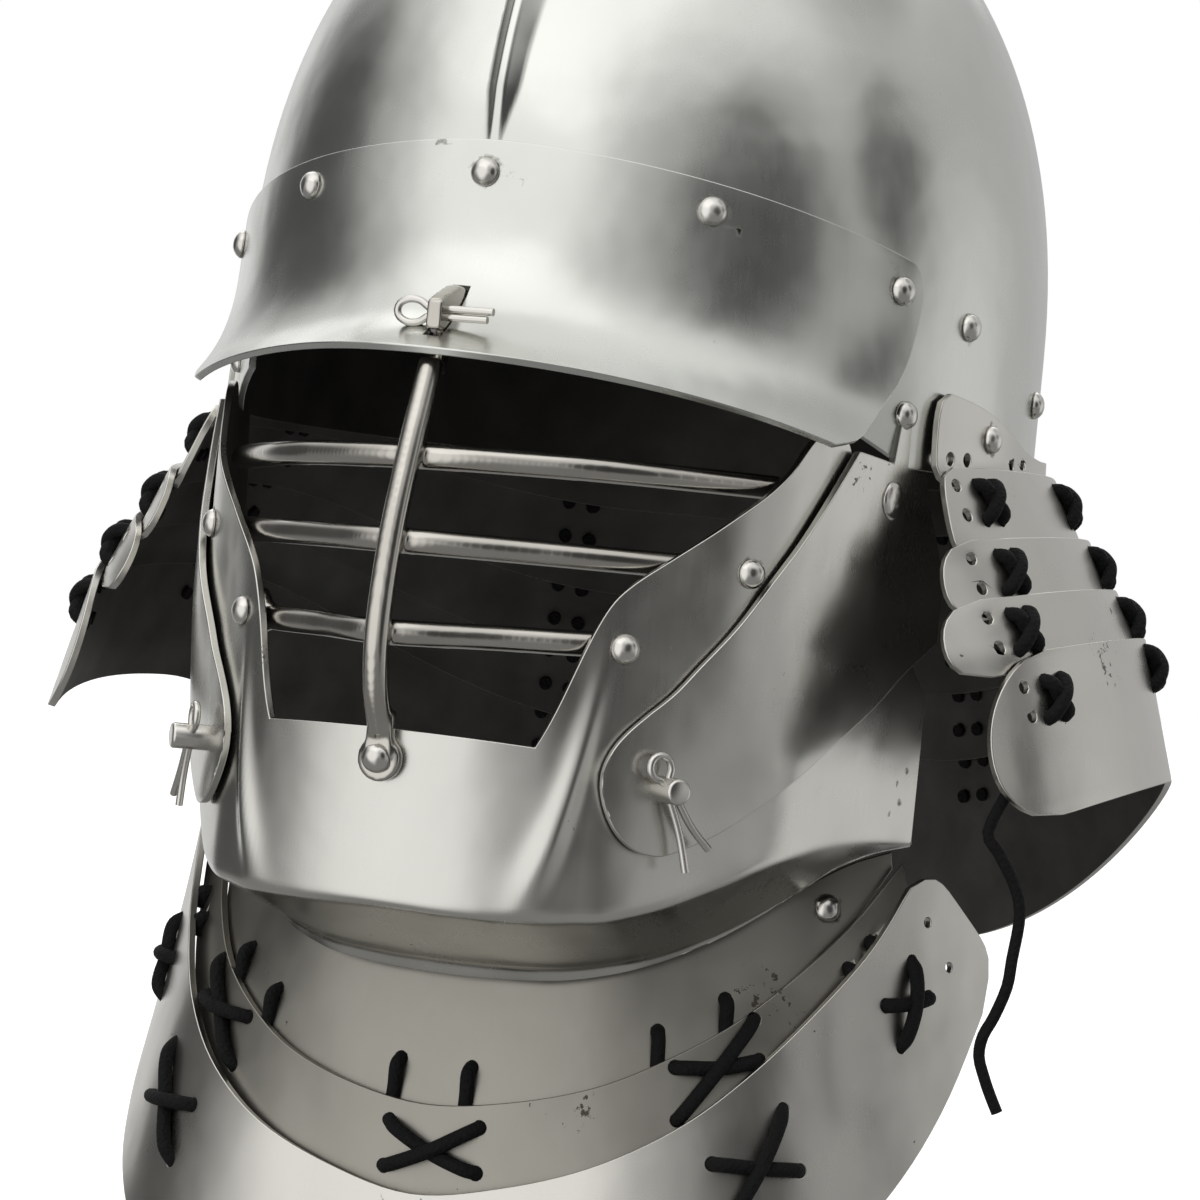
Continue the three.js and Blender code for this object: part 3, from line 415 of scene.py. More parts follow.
def outsideSkull(x, forward, height):  # below nought inside the bowl
    level = math.hypot(x / skull["halfWidth"], forward / skull["halfLength"])
    rise = max(height - skull["domeBase"], 0) / skull["domeHeight"]
    return level ** skull["power"] + rise ** skull["power"] - 1


def shellPoint(u, v):
    angle = 2 * math.pi * u - math.pi
    wallShare = skull["wallShare"]
    if v > 1 - wallShare:
        rim = skull["rim"] + skull["slant"] * max(skull["slantFrom"] - abs(math.degrees(angle)), 0)
        return skullPoint(angle, mix(skull["domeBase"], min(rim, faceCut["top"]), (v - 1 + wallShare) / wallShare), 0)
    section = meridian(math.pi / 2 * (1 - v / (1 - wallShare)))
    radius = ovalRadius(angle) * section.x / skull["halfLength"]
    return place(radius * math.sin(angle), radius * math.cos(angle), section.y)


def ridgePoint(u, v):
    degrees = mix(ridge["start"], ridge["end"], (1 - math.cos(math.pi * v)) / 2)
    fromEnd = min(degrees - ridge["start"], ridge["end"] - degrees)
    height = min(ridge["height"], ridge["toe"] + ridge["growth"] * fromEnd)
    height *= min(ridge["noseStart"] + fromEnd / ridge["nose"], 1)
    across = 2 * u - 1
    x = math.copysign(ridge["reach"] * abs(across) ** 1.6, across)
    base = meridian(math.radians(degrees))
    ahead = (meridian(math.radians(degrees + 0.5)) - meridian(math.radians(degrees - 0.5))).normalized()
    outward = Vector((ahead.y, -ahead.x))
    low, high = -12.0, 6.0  # the bowl's surface lies between these, and is found by halving
    for step in range(30):
        middle = (low + high) / 2
        if outsideSkull(x, base.x + outward.x * middle, base.y + outward.y * middle) > 0:
            high = middle
        else:
            low = middle
    flank = ridge["flank"] * height + ridge["foot"]
    slope = max(abs(x) - ridge["crest"], 0) / flank
    rise = height * max(1 - slope, 0) ** ridge["hollow"]
    fall = ridge["tuck"] * ease((abs(x) - ridge["crest"] - flank) / 2)
    lift = low + rise - fall
    return place(x, base.x + outward.x * lift, base.y + outward.y * lift)


def makeSkull():
    bm = bmesh.new()
    plateFrom(bm, skull["columns"], skull["rows"], shellPoint)
    bmesh.ops.remove_doubles(bm, verts=bm.verts, dist=1e-6)
    cut = []
    for face in bm.faces:
        middle = face.calc_center_median() * 1000
        low = middle.z + crownInside < faceCut["top"]
        if low and abs(middle.x) < faceCut["halfWidth"] and -middle.y > faceCut["rear"]:
            cut.append(face)
    bmesh.ops.delete(bm, geom=cut, context="FACES")
    bmesh.ops.recalc_face_normals(bm, faces=bm.faces)
    plateFrom(bm, ridge["columns"], ridge["rows"], ridgePoint)
    return finishPlate("skullShell", bm, plateSteel, "skull")


skullShell = makeSkull()
print("skull made")


# brow plate: a flared peak riveted to the front of the skull, with a slot for the grille's tang
brow = {"top": 60.6, "topFall": 17.9, "topPower": 1.6, "low": 7.0, "lowFall": 0.0063, "lowTilt": 0.045}
browReach = [  # share of the way down, degrees round to the rear edge
    (0, 55.6), (0.04, 57.4), (0.13, 58.4), (0.28, 58.2), (0.5, 56.5), (0.65, 54.1), (0.77, 51),
    (0.89, 47.8), (0.96, 45.4), (1, 42),
]
browFlare = {"side": 13.0, "middle": 14.5, "spread": 16.0, "power": 4.0}
browGrid = {"columns": 96, "rows": 40}
browSlot = {"left": 47 / 96, "right": 49 / 96, "top": 24 / 40, "bottom": 37 / 40}
browColumns = [(0.0, -1.0), (browSlot["left"], -0.0178), (browSlot["right"], 0.0178), (1.0, 1.0)]
browRows = [(0.0, 0.0), (browSlot["top"], 0.69), (browSlot["bottom"], 0.94), (1.0, 1.0)]
plateStep = 2.45


def browSpot(across, share):
    degrees, lowDegrees = across * fairCurve(browReach, share)[0], across * browReach[-1][1]
    top = brow["top"] - brow["topFall"] * abs(across) ** brow["topPower"]
    low = brow["low"] - brow["lowFall"] * lowDegrees**2 - brow["lowTilt"] * lowDegrees
    flare = browFlare["side"] + browFlare["middle"] * math.exp(-((degrees / browFlare["spread"]) ** 2))
    return skullPoint(math.radians(degrees), mix(top, low, share), plateStep + flare * share ** browFlare["power"])


def browPoint(u, v):
    return browSpot(between(browColumns, u)[0], between(browRows, v)[0])


def makeBrow():
    bm = bmesh.new()
    plateFrom(bm, browGrid["columns"], browGrid["rows"], browPoint)
    left, right = (browPoint(browSlot[key], browSlot["top"]).x for key in ("left", "right"))
    high, low = (browPoint(0.5, browSlot[key]).z for key in ("top", "bottom"))
    slot = []
    for face in bm.faces:
        middle = face.calc_center_median()
        if left < middle.x < right and low < middle.z < high:
            slot.append(face)
    bmesh.ops.delete(bm, geom=slot, context="FACES")
    return finishPlate("browPlate", bm, plateSteel, "brow_plate")


browPlate = makeBrow()
print("brow plate made")


# face wall, from the right rear edge through the middle of the chin to the left rear edge:
# station, plan of the wall, plan at the chin edge, height of the chin edge, inner edge of the turned-in floor
faceHalf = [
    (0, 0, 150, 0, 148, -127, 0, 95, -144), (1, 20, 147, 20, 145.5, -127.5, 17, 94, -143.5),
    (2, 34.4, 140.5, 36, 139.5, -127.5, 30, 92, -142.5), (3, 43, 134, 46, 133, -126.5, 40, 88, -140.5),
    (4, 50.5, 128, 53, 127, -125.5, 48, 83.5, -138), (5, 61, 117.5, 61, 116, -122, 57, 76, -134),
    (6, 73, 104, 70, 100, -116, 66.5, 66, -128), (7, 81.4, 86, 78.4, 83.3, -109.5, 75.5, 54, -120),
    (8, 88.1, 65.7, 84.6, 64.7, -104.5, 84.3, 48.2, -113), (9, 92, 48.1, 91, 48.1, -103, 90.4, 40.1, -107.5),
    (10, 97.3, 31.5, 97.1, 31.5, -103, 96.7, 30.5, -104),
]
faceEnd = 10
mirrored = (-1, -1, 1, -1, 1, 1, -1, 1, 1)
faceRows = [tuple(a * b for a, b in zip(row, mirrored)) for row in reversed(faceHalf[1:])] + faceHalf
chinTop = [(0, -84.5), (1, -85), (2, -85.7)]
cheekTop = [
    (2, -85.7), (2.88, -64.4), (3.21, -57), (3.62, -50.2), (4.07, -45), (4.66, -38.8), (5.24, -32.1), (5.76, -25.1),
    (6.2, -19), (6.54, -13), (6.8, -6.5), (7, -3.2), (7.45, -3.6), (8, -26), (9, -47), (10, -66),
]
face = {"columns": 200, "rows": 60, "taperFrom": -50.0, "taperTo": -127.0}
chin = {
    "radius": 2.6, "floorBend": 6.0, "flange": 4.4, "flangeLeast": 0.6, "flangeEnd": 7.6, "tilt": 0.65, "bend": 1.6,
}
chinFold = {"top": (3.35, -72.0), "bottom": (2.1, -119.0), "rise": 1.9, "width": 3.2, "perStation": 11}
faceParts = [0.0, 0.56, 0.64, 0.84, 0.92, 1.0]  # wall, turn, floor, bend and flange, by share of the rows


def wallPlan(station, height):
    x, forward, chinX, chinForward = fairCurve(faceRows, station)[:4]
    taper = ease((height - face["taperFrom"]) / (face["taperTo"] - face["taperFrom"]))
    return Vector((mix(x, chinX, taper), mix(forward, chinForward, taper)))


def wallPoint(station, height, lift):
    plan = wallPlan(station, height)
    ahead, behind = min(station + 0.2, faceEnd), max(station - 0.2, -faceEnd)
    along = (wallPlan(ahead, height) - wallPlan(behind, height)).normalized()
    return place(plan.x - along.y * lift, plan.y + along.x * lift, height)


def foldLift(station, height):  # the hammered fold below each corner of the chin opening
    (topStation, topHeight), (lowStation, lowHeight) = chinFold["top"], chinFold["bottom"]
    share = (height - topHeight) / (lowHeight - topHeight)
    aside = (abs(station) - mix(topStation, lowStation, share)) * chinFold["perStation"]
    fade = ease(share + 0.35) * ease(2.2 - 1.6 * share)
    return chinFold["rise"] * fade * math.exp(-((aside / chinFold["width"]) ** 2))


def facePoint(u, v):
    station = mix(-faceEnd, faceEnd, u)
    values = fairCurve(faceRows, station)
    bottom, inner = values[4], place(*values[5:8])
    top = fairCurve(chinTop if abs(station) <= chinTop[-1][0] else cheekTop, abs(station))[0]
    corner = wallPoint(station, bottom, 0)
    inward = (inner - corner).normalized()
    room = (inner - corner).length * 300
    radius, back, bow = (min(chin[key], room) * 0.001 for key in ("radius", "floorBend", "bend"))
    level = Vector((inward.x, inward.y, 0)).normalized()
    depth = max(chin["flange"] * (1 - (station / chin["flangeEnd"]) ** 2), chin["flangeLeast"])
    bend = inner - inward * back
    hang = (Vector((0, 0, -1)) + level * chin["tilt"]).normalized()
    lip = bend + hang * depth * 0.001
    part = bisect.bisect_right(faceParts, v, 1, len(faceParts) - 1) - 1
    t = (v - faceParts[part]) / (faceParts[part + 1] - faceParts[part])
    if part == 0:
        height = mix(top, bottom + chin["radius"], t)
        return wallPoint(station, height, foldLift(station, height))
    turn = wallPoint(station, bottom + chin["radius"], foldLift(station, bottom + chin["radius"]))
    if part == 1:
        return turn * (1 - t) ** 2 + corner * 2 * t * (1 - t) + (corner + inward * radius) * t**2
    drop = hang * min(depth * 0.0004, 0.0016)
    if part == 2:
        return (corner + inward * radius).lerp(bend - inward * bow, t)
    if part == 3:
        return (bend - inward * bow) * (1 - t) ** 2 + bend * 2 * t * (1 - t) + (bend + drop) * t**2
    return (bend + drop).lerp(lip, t)


def makeFace():
    bm = bmesh.new()
    plateFrom(bm, face["columns"], face["rows"], facePoint)
    return finishPlate("facePlate", bm, cheekSteel, "face_plate")


facePlate = makeFace()
print("face plate made")


# side plates: leaves of plate over the cheeks, from inside the skull down to the lock studs
sideFront = [
    (3.5, -82), (3.69, -81), (4.12, -78.4), (4.48, -75.3), (4.92, -69.6), (5.26, -63.2), (5.71, -53.7), (6.2, -41.4),
    (6.71, -29.4), (7.16, -17.2), (7.53, -6.4), (8.3, -8.2), (8.4, 4), (8.9, 4), (9.3, -14), (9.9, -35),
]
sideRear = [
    (3.5, -105.5), (4.05, -107.8), (4.55, -109), (4.95, -109), (5.69, -103.9), (6.34, -97), (7.05, -88.3),
    (7.75, -78), (8.62, -67.4), (9.2, -60), (9.9, -52),
]
sideGrid = {"columns": 120, "rows": 24, "noseEnd": 4.6, "middle": -92.5, "lift": 2.95, "tongueFrom": 7.16}


def sidePoint(u, v):
    station = mix(sideFront[0][0], sideFront[-1][0], u**1.3)
    through = between if station > sideGrid["tongueFrom"] else fairCurve
    front = through(sideFront, station)[0]
    rear = fairCurve(sideRear, station)[0]
    nose = min((station - sideFront[0][0]) / (sideGrid["noseEnd"] - sideFront[0][0]), 1)
    full = math.sqrt(max(1 - (1 - nose) ** 2, 0))
    front, rear = mix(sideGrid["middle"], front, full), mix(sideGrid["middle"], rear, full)
    return wallPoint(station, mix(front, rear, v), sideGrid["lift"])


def makeSide(side):
    bm = bmesh.new()
    plateFrom(bm, sideGrid["columns"], sideGrid["rows"], sidePoint)
    bmesh.ops.remove_doubles(bm, verts=bm.verts, dist=1e-5)
    if side == "right":
        bmesh.ops.scale(bm, vec=(-1, 1, 1), verts=bm.verts)
        bmesh.ops.reverse_faces(bm, faces=bm.faces)
    return finishPlate("sidePlate" + side.capitalize(), bm, cheekSteel, "side_plate_" + side)


sidePlates = {side: makeSide(side) for side in ("left", "right")}
print("side plates made")


# neck guard: lames that hang round the back, each one a step outside the one above
neckLames = [
    {"top": 0.0, "front": 63.5, "corner": 2.6, "round": 2.6},
    {"top": 0.165, "front": 62.7, "corner": 3.0, "round": 2.8, "knot": -0.9, "low": 0.0, "spare": 2.6},
    {"top": 0.335, "front": 59.5, "corner": 5.0, "round": 2.3, "knot": 0.3, "low": 0.0, "spare": 4.4},
    {"top": 0.47, "front": 57.5, "corner": 5.8, "round": 2.3, "knot": 2.1, "low": 0.0, "spare": 6.0},
    {"top": 0.6, "front": 61.2, "corner": 9.2, "round": 2.1, "knot": -0.1, "low": 0.035, "spare": 4.8},
]
neck = {
    "top": 10.0, "overlap": 0.05, "firstStep": 2.9, "step": 2.7, "sideReach": 151.0, "backReach": 146.0, "rim": -82.0,
    "frontFall": 16.0, "frontSpan": 40.0, "backFall": 56.0, "fallStart": 100.0, "fallEnd": 160.0, "columns": 132,
    "curl": 3.4, "curlFrom": 57.0, "curlSpan": 11.0,
}
neckTop = [  # degrees round, share of the drop at the first lame's top edge
    (60, -0.015), (66, -0.012), (75, 0.014), (84, 0.065), (90, 0.105), (97, 0.122), (104, 0.122),
    (130, 0.085), (160, 0.07), (180, 0.07),
]
neckFlare = [(0, 0), (0.165, 0.024), (0.335, 0.29), (0.47, 0.47), (0.6, 0.665), (1, 1)]
lacing = {"hole": 1.7, "spare": 1.25, "cord": 1.85, "inside": -3.2}
neckColumns = {  # degrees round
    "left_front": 70.5, "left_side": 100, "left_back": 152,
    "right_back": 208, "right_side": 260, "right_front": 289.5,
}
neckCross = {"halfWidth": 3.6, "halfHeight": 4.9, "drop": 0.085}
spareHoles = [(0.0, 0.045), (0.8, 0.115)]
firstHoles = {"degrees": (66.6, 70.6, 84.0, 88.6), "drop": 0.148}


def crossTips(cross):
    width, height = cross["halfWidth"], cross["halfHeight"]
    return [(-width, -height), (width, height), (-width, height), (width, -height)]


def neckPoint(lame, degrees, drop, lift):
    fromFront = min(degrees, 360 - degrees)
    toFront = max(neck["fallStart"] - fromFront, 0) / neck["frontSpan"]
    toBack = ease((fromFront - neck["fallStart"]) / (neck["fallEnd"] - neck["fallStart"]))
    rim = neck["rim"] - neck["frontFall"] * toFront**2 - neck["backFall"] * toBack
    reach = mix(neck["sideReach"], neck["backReach"], ease((fromFront - 90) / 90))
    oval = ovalRadius(math.radians(degrees))
    layer = neck["firstStep"] + neck["step"] * lame
    lastLayer = neck["firstStep"] + neck["step"] * (len(neckLames) - 1)
    toEnd = max(1 - (fromFront - neck["curlFrom"]) / neck["curlSpan"], 0)
    curl = neck["curl"] * toEnd**2 * ease((drop - 0.2) / 0.2)
    radius = oval + layer + between(neckFlare, drop)[0] * (reach - oval - lastLayer) + lift - curl
    angle = math.radians(degrees)
    return place(radius * math.sin(angle), radius * math.cos(angle), mix(neck["top"], rim, drop))


def neckSpot(lame, degrees, drop):  # places on a lame by millimetres aside and down from a point
    middle = neckPoint(lame, degrees, drop, 0)
    aside = (neckPoint(lame, degrees + 1, drop, 0) - middle).normalized()
    down = (neckPoint(lame, degrees, drop + 0.02, 0) - middle).normalized()
    outward = down.cross(aside).normalized()
    return lambda x, y, lift: middle + (aside * x + down * y + outward * lift) * 0.001


def knotSpot(name, lame):  # the middle of a cross, a little off its column on the lames' front ends
    row = neckLames[lame]
    aside = {"left_front": -row["knot"], "right_front": row["knot"]}.get(name, 0)
    low = row["low"] if "front" in name else 0
    return neckSpot(lame, neckColumns[name] + aside, row["top"] + neckCross["drop"] + low)


def makeNeckLame(lame):
    row = neckLames[lame]
    top, front, power = row["top"], row["front"], row["round"]
    last = lame == len(neckLames) - 1
    bottom = 1.0 if last else neckLames[lame + 1]["top"] + neck["overlap"]

    def lamePoint(u, v):
        end = front + row["corner"] * (1 - (1 - abs(2 * v - 1) ** power) ** (1 / power))
        degrees = mix(end, 360 - end, u)
        start = top if lame else fairCurve(neckTop, min(degrees, 360 - degrees))[0]
        return neckPoint(lame, degrees, mix(start, bottom, v), 0)

    bm = bmesh.new()
    plateFrom(bm, neck["columns"], 20 if last else 9, lamePoint)
    holes = []
    if lame:
        for name in neckColumns:
            spot = knotSpot(name, lame)
            holes += [spot(x, y, 0) for x, y in crossTips(neckCross)]
        for aside, drop in spareHoles:
            degrees = front + row["spare"] + aside
            holes += [neckPoint(lame, angle, top + drop + row["low"], 0) for angle in (degrees, 360 - degrees)]
    else:
        for degrees in firstHoles["degrees"]:
            holes += [neckPoint(0, angle, firstHoles["drop"], 0) for angle in (degrees, 360 - degrees)]
    for spot in holes:
        punch(bm, spot, lacing["hole"] * 0.001)
    number = str(lame + 1)
    return finishPlate("neckLame" + number, bm, lameSteel, "neck_lame_" + number)


neckPlates = [makeNeckLame(lame) for lame in range(len(neckLames))]
print("neck lames made")


# throat guard: edges of the three lames from the middle to the rear end
throatEdges = {
    "firstTop": [(0, 94, -144.8), (20, 93, -144.2), (38, 88.5, -140), (52, 79.5, -133), (64, 67.5, -126),
                 (75, 53.5, -117.4), (84, 40.5, -110), (91.5, 29.5, -106)],
    "firstBottom": [(0, 100.8, -183), (21.7, 99.4, -180), (41.3, 93.8, -174), (57, 85.2, -165), (69.3, 74.8, -155),
                    (79.6, 60, -141), (86.4, 44.6, -127), (92.4, 30, -110.5)],
    "secondTop": [(0, 103.2, -178), (22, 101.7, -175), (42, 95.7, -169), (58, 86.7, -160), (70.5, 75.7, -150),
                  (81, 60.6, -137), (88.5, 45, -124), (95, 30.5, -108.5)],
    "secondBottom": [(0, 104, -207), (23.5, 103, -202.5), (45, 99, -194.5), (62.4, 90, -183), (75.6, 78.4, -168.5),
                     (86, 62.8, -152), (93.3, 47, -136), (99, 33, -117.5)],
    "thirdTop": [(0, 106.6, -200), (24, 105.6, -195.5), (46, 101.6, -187.5), (64, 92.4, -176), (77.5, 80.2, -161.5),
                 (88, 64, -145), (95.5, 48, -129), (101, 33.5, -109.5)],
    "thirdBottom": [(0, 119, -248), (30, 117, -244), (57, 108, -236.5), (79, 94, -225), (95, 75, -210),
                    (105.5, 53, -193), (112, 30, -170), (116, 8, -138)],
}
throatLames = [("firstTop", "firstBottom", 9), ("secondTop", "secondBottom", 8), ("thirdTop", "thirdBottom", 14)]
throatColumns = {
    "right_rear": (None, -0.78, -0.79), "right": (-0.45, -0.5, -0.5), "middle": (0.0, 0.02, 0.02),
    "left": (0.48, 0.52, 0.535), "left_rear": (None, 0.85, 0.87),
}
throatCrosses = {
    1: {"along": 0.4, "halfWidth": 12.3, "halfHeight": 5.8}, 2: {"along": 0.4, "halfWidth": 12.0, "halfHeight": 7.8},
    "rear": {"along": 0.4, "halfWidth": 7.8, "halfHeight": 5.6},
}
throatSpares = [(0.962, 0.25), (0.957, 0.57)]
throatThongs = {"aside": 9.5, "rearAside": 5.0, "along": 0.62, "run": 12, "rearRun": 5}
throatEnd = {"bulge": 0.02, "round": 0.055, "power": 6}


def throatEdge(name, share):
    rows = [(float(i), *row) for i, row in enumerate(throatEdges[name])]
    full = [(-key, -x, forward, height) for key, x, forward, height in reversed(rows[1:])] + rows
    return place(*fairCurve(full, 7 * share))


def throatPoint(lame, share, along):
    top, bottom = throatLames[lame][:2]
    return throatEdge(top, share).lerp(throatEdge(bottom, share), along)


def throatSpot(lame, share, along):  # places on a lame by millimetres aside and down from a point
    middle = throatPoint(lame, share, along)
    width = (throatPoint(lame, share + 0.01, along) - middle).length * 1000 / 0.01
    height = (throatPoint(lame, share, along + 0.01) - middle).length * 1000 / 0.01

    def spot(x, y, lift):
        s, a = share + x / width, along + y / height
        aside = throatPoint(lame, s + 0.01, a) - throatPoint(lame, s - 0.01, a)
        down = throatPoint(lame, s, a + 0.02) - throatPoint(lame, s, a - 0.02)
        return throatPoint(lame, s, a) + down.cross(aside).normalized() * lift * 0.001

    return spot


def throatCross(name, lame):
    return throatCrosses["rear" if "rear" in name else lame]


def thongSpots(name, lame):  # the two thongs at the head of a column
    aside = throatThongs["rearAside" if "rear" in name else "aside"]
    spot = throatSpot(lame, throatColumns[name][lame], throatThongs["along"])
    return [lambda y, lift, x=x: spot(x, y, lift) for x in (-aside, aside)]


def makeThroatLame(lame):
    columns, rows, last = 84, throatLames[lame][2], lame == 2

    def lamePoint(u, v):
        swell = throatEnd["bulge"] - throatEnd["round"] * abs(2 * v - 1) ** throatEnd["power"] if last else 0
        return throatPoint(lame, (2 * u - 1) * (1 + swell), v)

    bm = bmesh.new()
    plateFrom(bm, columns, rows, lamePoint)
    holes = []
    for name, shares in throatColumns.items():
        if shares[lame] is None:
            continue
        if lame == 0 or shares[lame - 1] is None:
            holes += [spot(0, 0) for spot in thongSpots(name, lame)]
        else:
            cross = throatCross(name, lame)
            spot = throatSpot(lame, shares[lame], cross["along"])
            holes += [spot(x, y, 0) for x, y in crossTips(cross)]
    for spot in holes:
        punch(bm, spot, lacing["hole"] * 0.001)
    for share, along in throatSpares if last else []:
        for side in (-1, 1):
            punch(bm, throatPoint(lame, side * share, along), lacing["spare"] * 0.001)
    number = str(lame + 1)
    return finishPlate("throatLame" + number, bm, lameSteel if last else throatSteel, "throat_lame_" + number)


throatPlates = [makeThroatLame(lame) for lame in range(len(throatLames))]
print("throat lames made")


# lacing: crossed runs of cord on each lame
def strand(spot, start, end, over):
    radius = lacing["cord"]
    (ax, ay), (bx, by) = start, end
    at = lambda share, lift: spot(mix(ax, bx, share), mix(ay, by, share), lift)
    crest, inside = radius * (1.75 if over else 0.8), lacing["inside"]
    shares = (-0.02, -0.01, 0.12, 0.5, 0.88, 1.01, 1.02)
    lifts = (inside, -1.2, radius * 0.9, crest, radius * 0.9, -1.2, inside)
    return [at(share, lift) for share, lift in zip(shares, lifts)]


def crossStrands(spot, cross):
    tips = crossTips(cross)
    return [strand(spot, tips[0], tips[1], False), strand(spot, tips[2], tips[3], True)]


def thongPath(thong, run):
    downs, lifts = (-0.4, 0, 0.17 * run, 0.58 * run, run), (lacing["inside"], -0.5, 1.5, 0.6, 0.2)
    return [thong(down, lift) for down, lift in zip(downs, lifts)]


def makeLacing():
    columns = {}
    for name in neckColumns:
        columns["neck", name] = []
        for lame in range(1, len(neckLames)):
            columns["neck", name] += crossStrands(knotSpot(name, lame), neckCross)
    for name, shares in throatColumns.items():
        paths, head = [], 1 if "rear" in name else 0
        for lame in range(head + 1, len(throatLames)):
            cross = throatCross(name, lame)
            paths += crossStrands(throatSpot(lame, shares[lame], cross["along"]), cross)
        paths += [thongPath(thong, throatThongs["rearRun" if head else "run"]) for thong in thongSpots(name, head)]
        columns["throat", name] = paths
    for (guard, name), paths in columns.items():
        pieceName = guard + "Lacing_" + name
        mesh = wireMesh(pieceName, paths, lacing["cord"] * 0.001)
        finishMesh(pieceName, mesh, [cordBlack], guard + "_lacing_" + name)


makeLacing()
print("lacing made")


# grille: round bars welded into one piece, with flattened riveted ends and a tang through the brow
barRadius = 3.2
upright = [(143.2, 4.4), (145.4, -2), (151.5, -19.2), (157.3, -39.7), (159.8, -61.7), (157.6, -75), (151.8, -85.2)]
crossBars = [
    {"middle": (146.6, -19.2), "left": ((2, -19.2), (4.2, -19.4), (6.6, -19.8)), "tab": False, "tilt": 0.028},
    {"middle": (152.6, -39.7), "left": ((2, -39.6), (4.2, -39.6), (6.1, -39.4)), "tab": True, "tilt": 0.006},
    {"middle": (155.0, -61.7), "left": ((1.4, -61), (2.8, -60.8), (4.1, -60.4)), "tab": True, "tilt": 0.016},
]
tangOutline = [
    (143.5, 1), (141.6, 5), (139.6, 8), (139.8, 10.4), (143, 11.2), (145, 11.8), (145.3, 18.6), (142.6, 20),
    (134, 23.4), (130.5, 23), (131.5, 17), (138.6, 1),
]
tangHalf = 2
eyeEnd = {"height": -92.0, "radius": 5.6, "front": 3.65, "back": 0.45}
eyeStrap = {"size": (6.6, 3.0, 12.0), "middle": (0, 152, -86)}
tab = {"radius": 6.4, "back": -6.15, "front": -2.95}
weldSettings = {"voxel": 0.00065, "factor": 0.5, "rounds": 9}


def addRod(bm, start, end, radius):
    along = end - start
    turn = along.to_track_quat("Z", "Y").to_matrix().to_4x4()
    bmesh.ops.create_cone(
        bm, cap_ends=True, segments=28, radius1=radius, radius2=radius, depth=along.length,
        matrix=Matrix.Translation((start + end) / 2) @ turn,
    )


def makeGrille():
    bm = bmesh.new()
    paths = [[place(0, forward, height) for forward, height in upright]]
    inset = tab["front"] - barRadius
    for bar in crossBars:
        left = [wallPoint(station, height, inset) for station, height in bar["left"]]
        right = [Vector((-spot.x, spot.y, spot.z)) for spot in reversed(left)]
        line = right + [place(0, *bar["middle"])] + left
        paths.append([Vector((spot.x, spot.y, spot.z + bar["tilt"] * spot.x)) for spot in line])
        if bar["tab"]:
            for side in (-1, 1):
                station, height = bar["left"][-1]
                ends = [wallPoint(side * station, height, tab[key]) for key in ("back", "front")]
                addRod(bm, *ends, tab["radius"] * 0.001)
    eyeSides = [wallPoint(0, eyeEnd["height"], eyeEnd[key]) for key in ("back", "front")]
    addRod(bm, *eyeSides, eyeEnd["radius"] * 0.001)
    strap = bmesh.ops.create_cube(bm, size=1)["verts"]
    bmesh.ops.scale(bm, vec=Vector(eyeStrap["size"]) * 0.001, verts=strap)
    bmesh.ops.translate(bm, vec=place(*eyeStrap["middle"]), verts=strap)
    fin = [bm.verts.new(place(-tangHalf, forward, height)) for forward, height in tangOutline]
    side = bm.faces.new(fin)
    swept = bmesh.ops.extrude_face_region(bm, geom=[side])["geom"]
    farSide = [vert for vert in swept if isinstance(vert, bmesh.types.BMVert)]
    bmesh.ops.translate(bm, vec=(2 * tangHalf * 0.001, 0, 0), verts=farSide)
    bmesh.ops.recalc_face_normals(bm, faces=bm.faces)
    bars = wireMesh("bars", paths, barRadius * 0.001, step=0.002, resolution=8)
    bm.from_mesh(bars)
    bpy.data.meshes.remove(bars)
    piece = finishPiece("grilleBars", bm, [barSteel], "grille")
    weld = piece.modifiers.new("weld", "REMESH")  # runs the bars together with small fillets, as weld does
    weld.mode = "VOXEL"
    weld.voxel_size = weldSettings["voxel"]
    weld.use_smooth_shade = True
    fair = piece.modifiers.new("fair", "SMOOTH")
    fair.factor = weldSettings["factor"]
    fair.iterations = weldSettings["rounds"]
    return piece


grilleBars = makeGrille()
print("grille made")


# rivets, studs and split pins
rivetHead = {"radius": 3.75, "rise": 2.7, "shank": 2.2}
flatHead = {"radius": 5.0, "rise": 1.3, "shank": 2.2}
rivetRows = [
    ("brow_middle", browPlate, (0, 123.6, 52.3)), ("brow_front", browPlate, (54.1, 105.9, 47.7)),
    ("brow_rear", browPlate, (91.3, 64.9, 34.7)), ("skull_front", skullShell, (100.2, 35, 28.8)),
    ("skull_rear", skullShell, (103.4, -19, 13.2)), ("skull_side", skullShell, (93.4, 57.6, 4.2)),
    ("neck", neckPlates[0], (105, 25, 1.2)), ("side_plate", sidePlates, (90.4, 59, -17.5)),
    ("face_upper", facePlate, (72.6, 104.6, -39.4)), ("face_lower", facePlate, (50.6, 127.4, -60.4)),
    ("chin", grilleBars, (0, 152, -92)), ("throat", throatPlates[0], (84.2, 49.6, -121.3)),
]
plateTrees = {}


def seatOn(plate, aim):  # where a level line from outside meets the plate
    if plate.name not in plateTrees:
        plateTrees[plate.name] = BVHTree.FromObject(plate, bpy.context.evaluated_depsgraph_get())
    outward = Vector((aim.x, aim.y, 0)).normalized()
    spot, normal = plateTrees[plate.name].ray_cast(aim + outward * 0.04, -outward)[:2]
    return spot, normal


domeSection = [  # shares of the radius and the rise
    (0, 1), (0.3, 0.965), (0.58, 0.82), (0.82, 0.55), (0.97, 0.2), (0.98, 0),
]


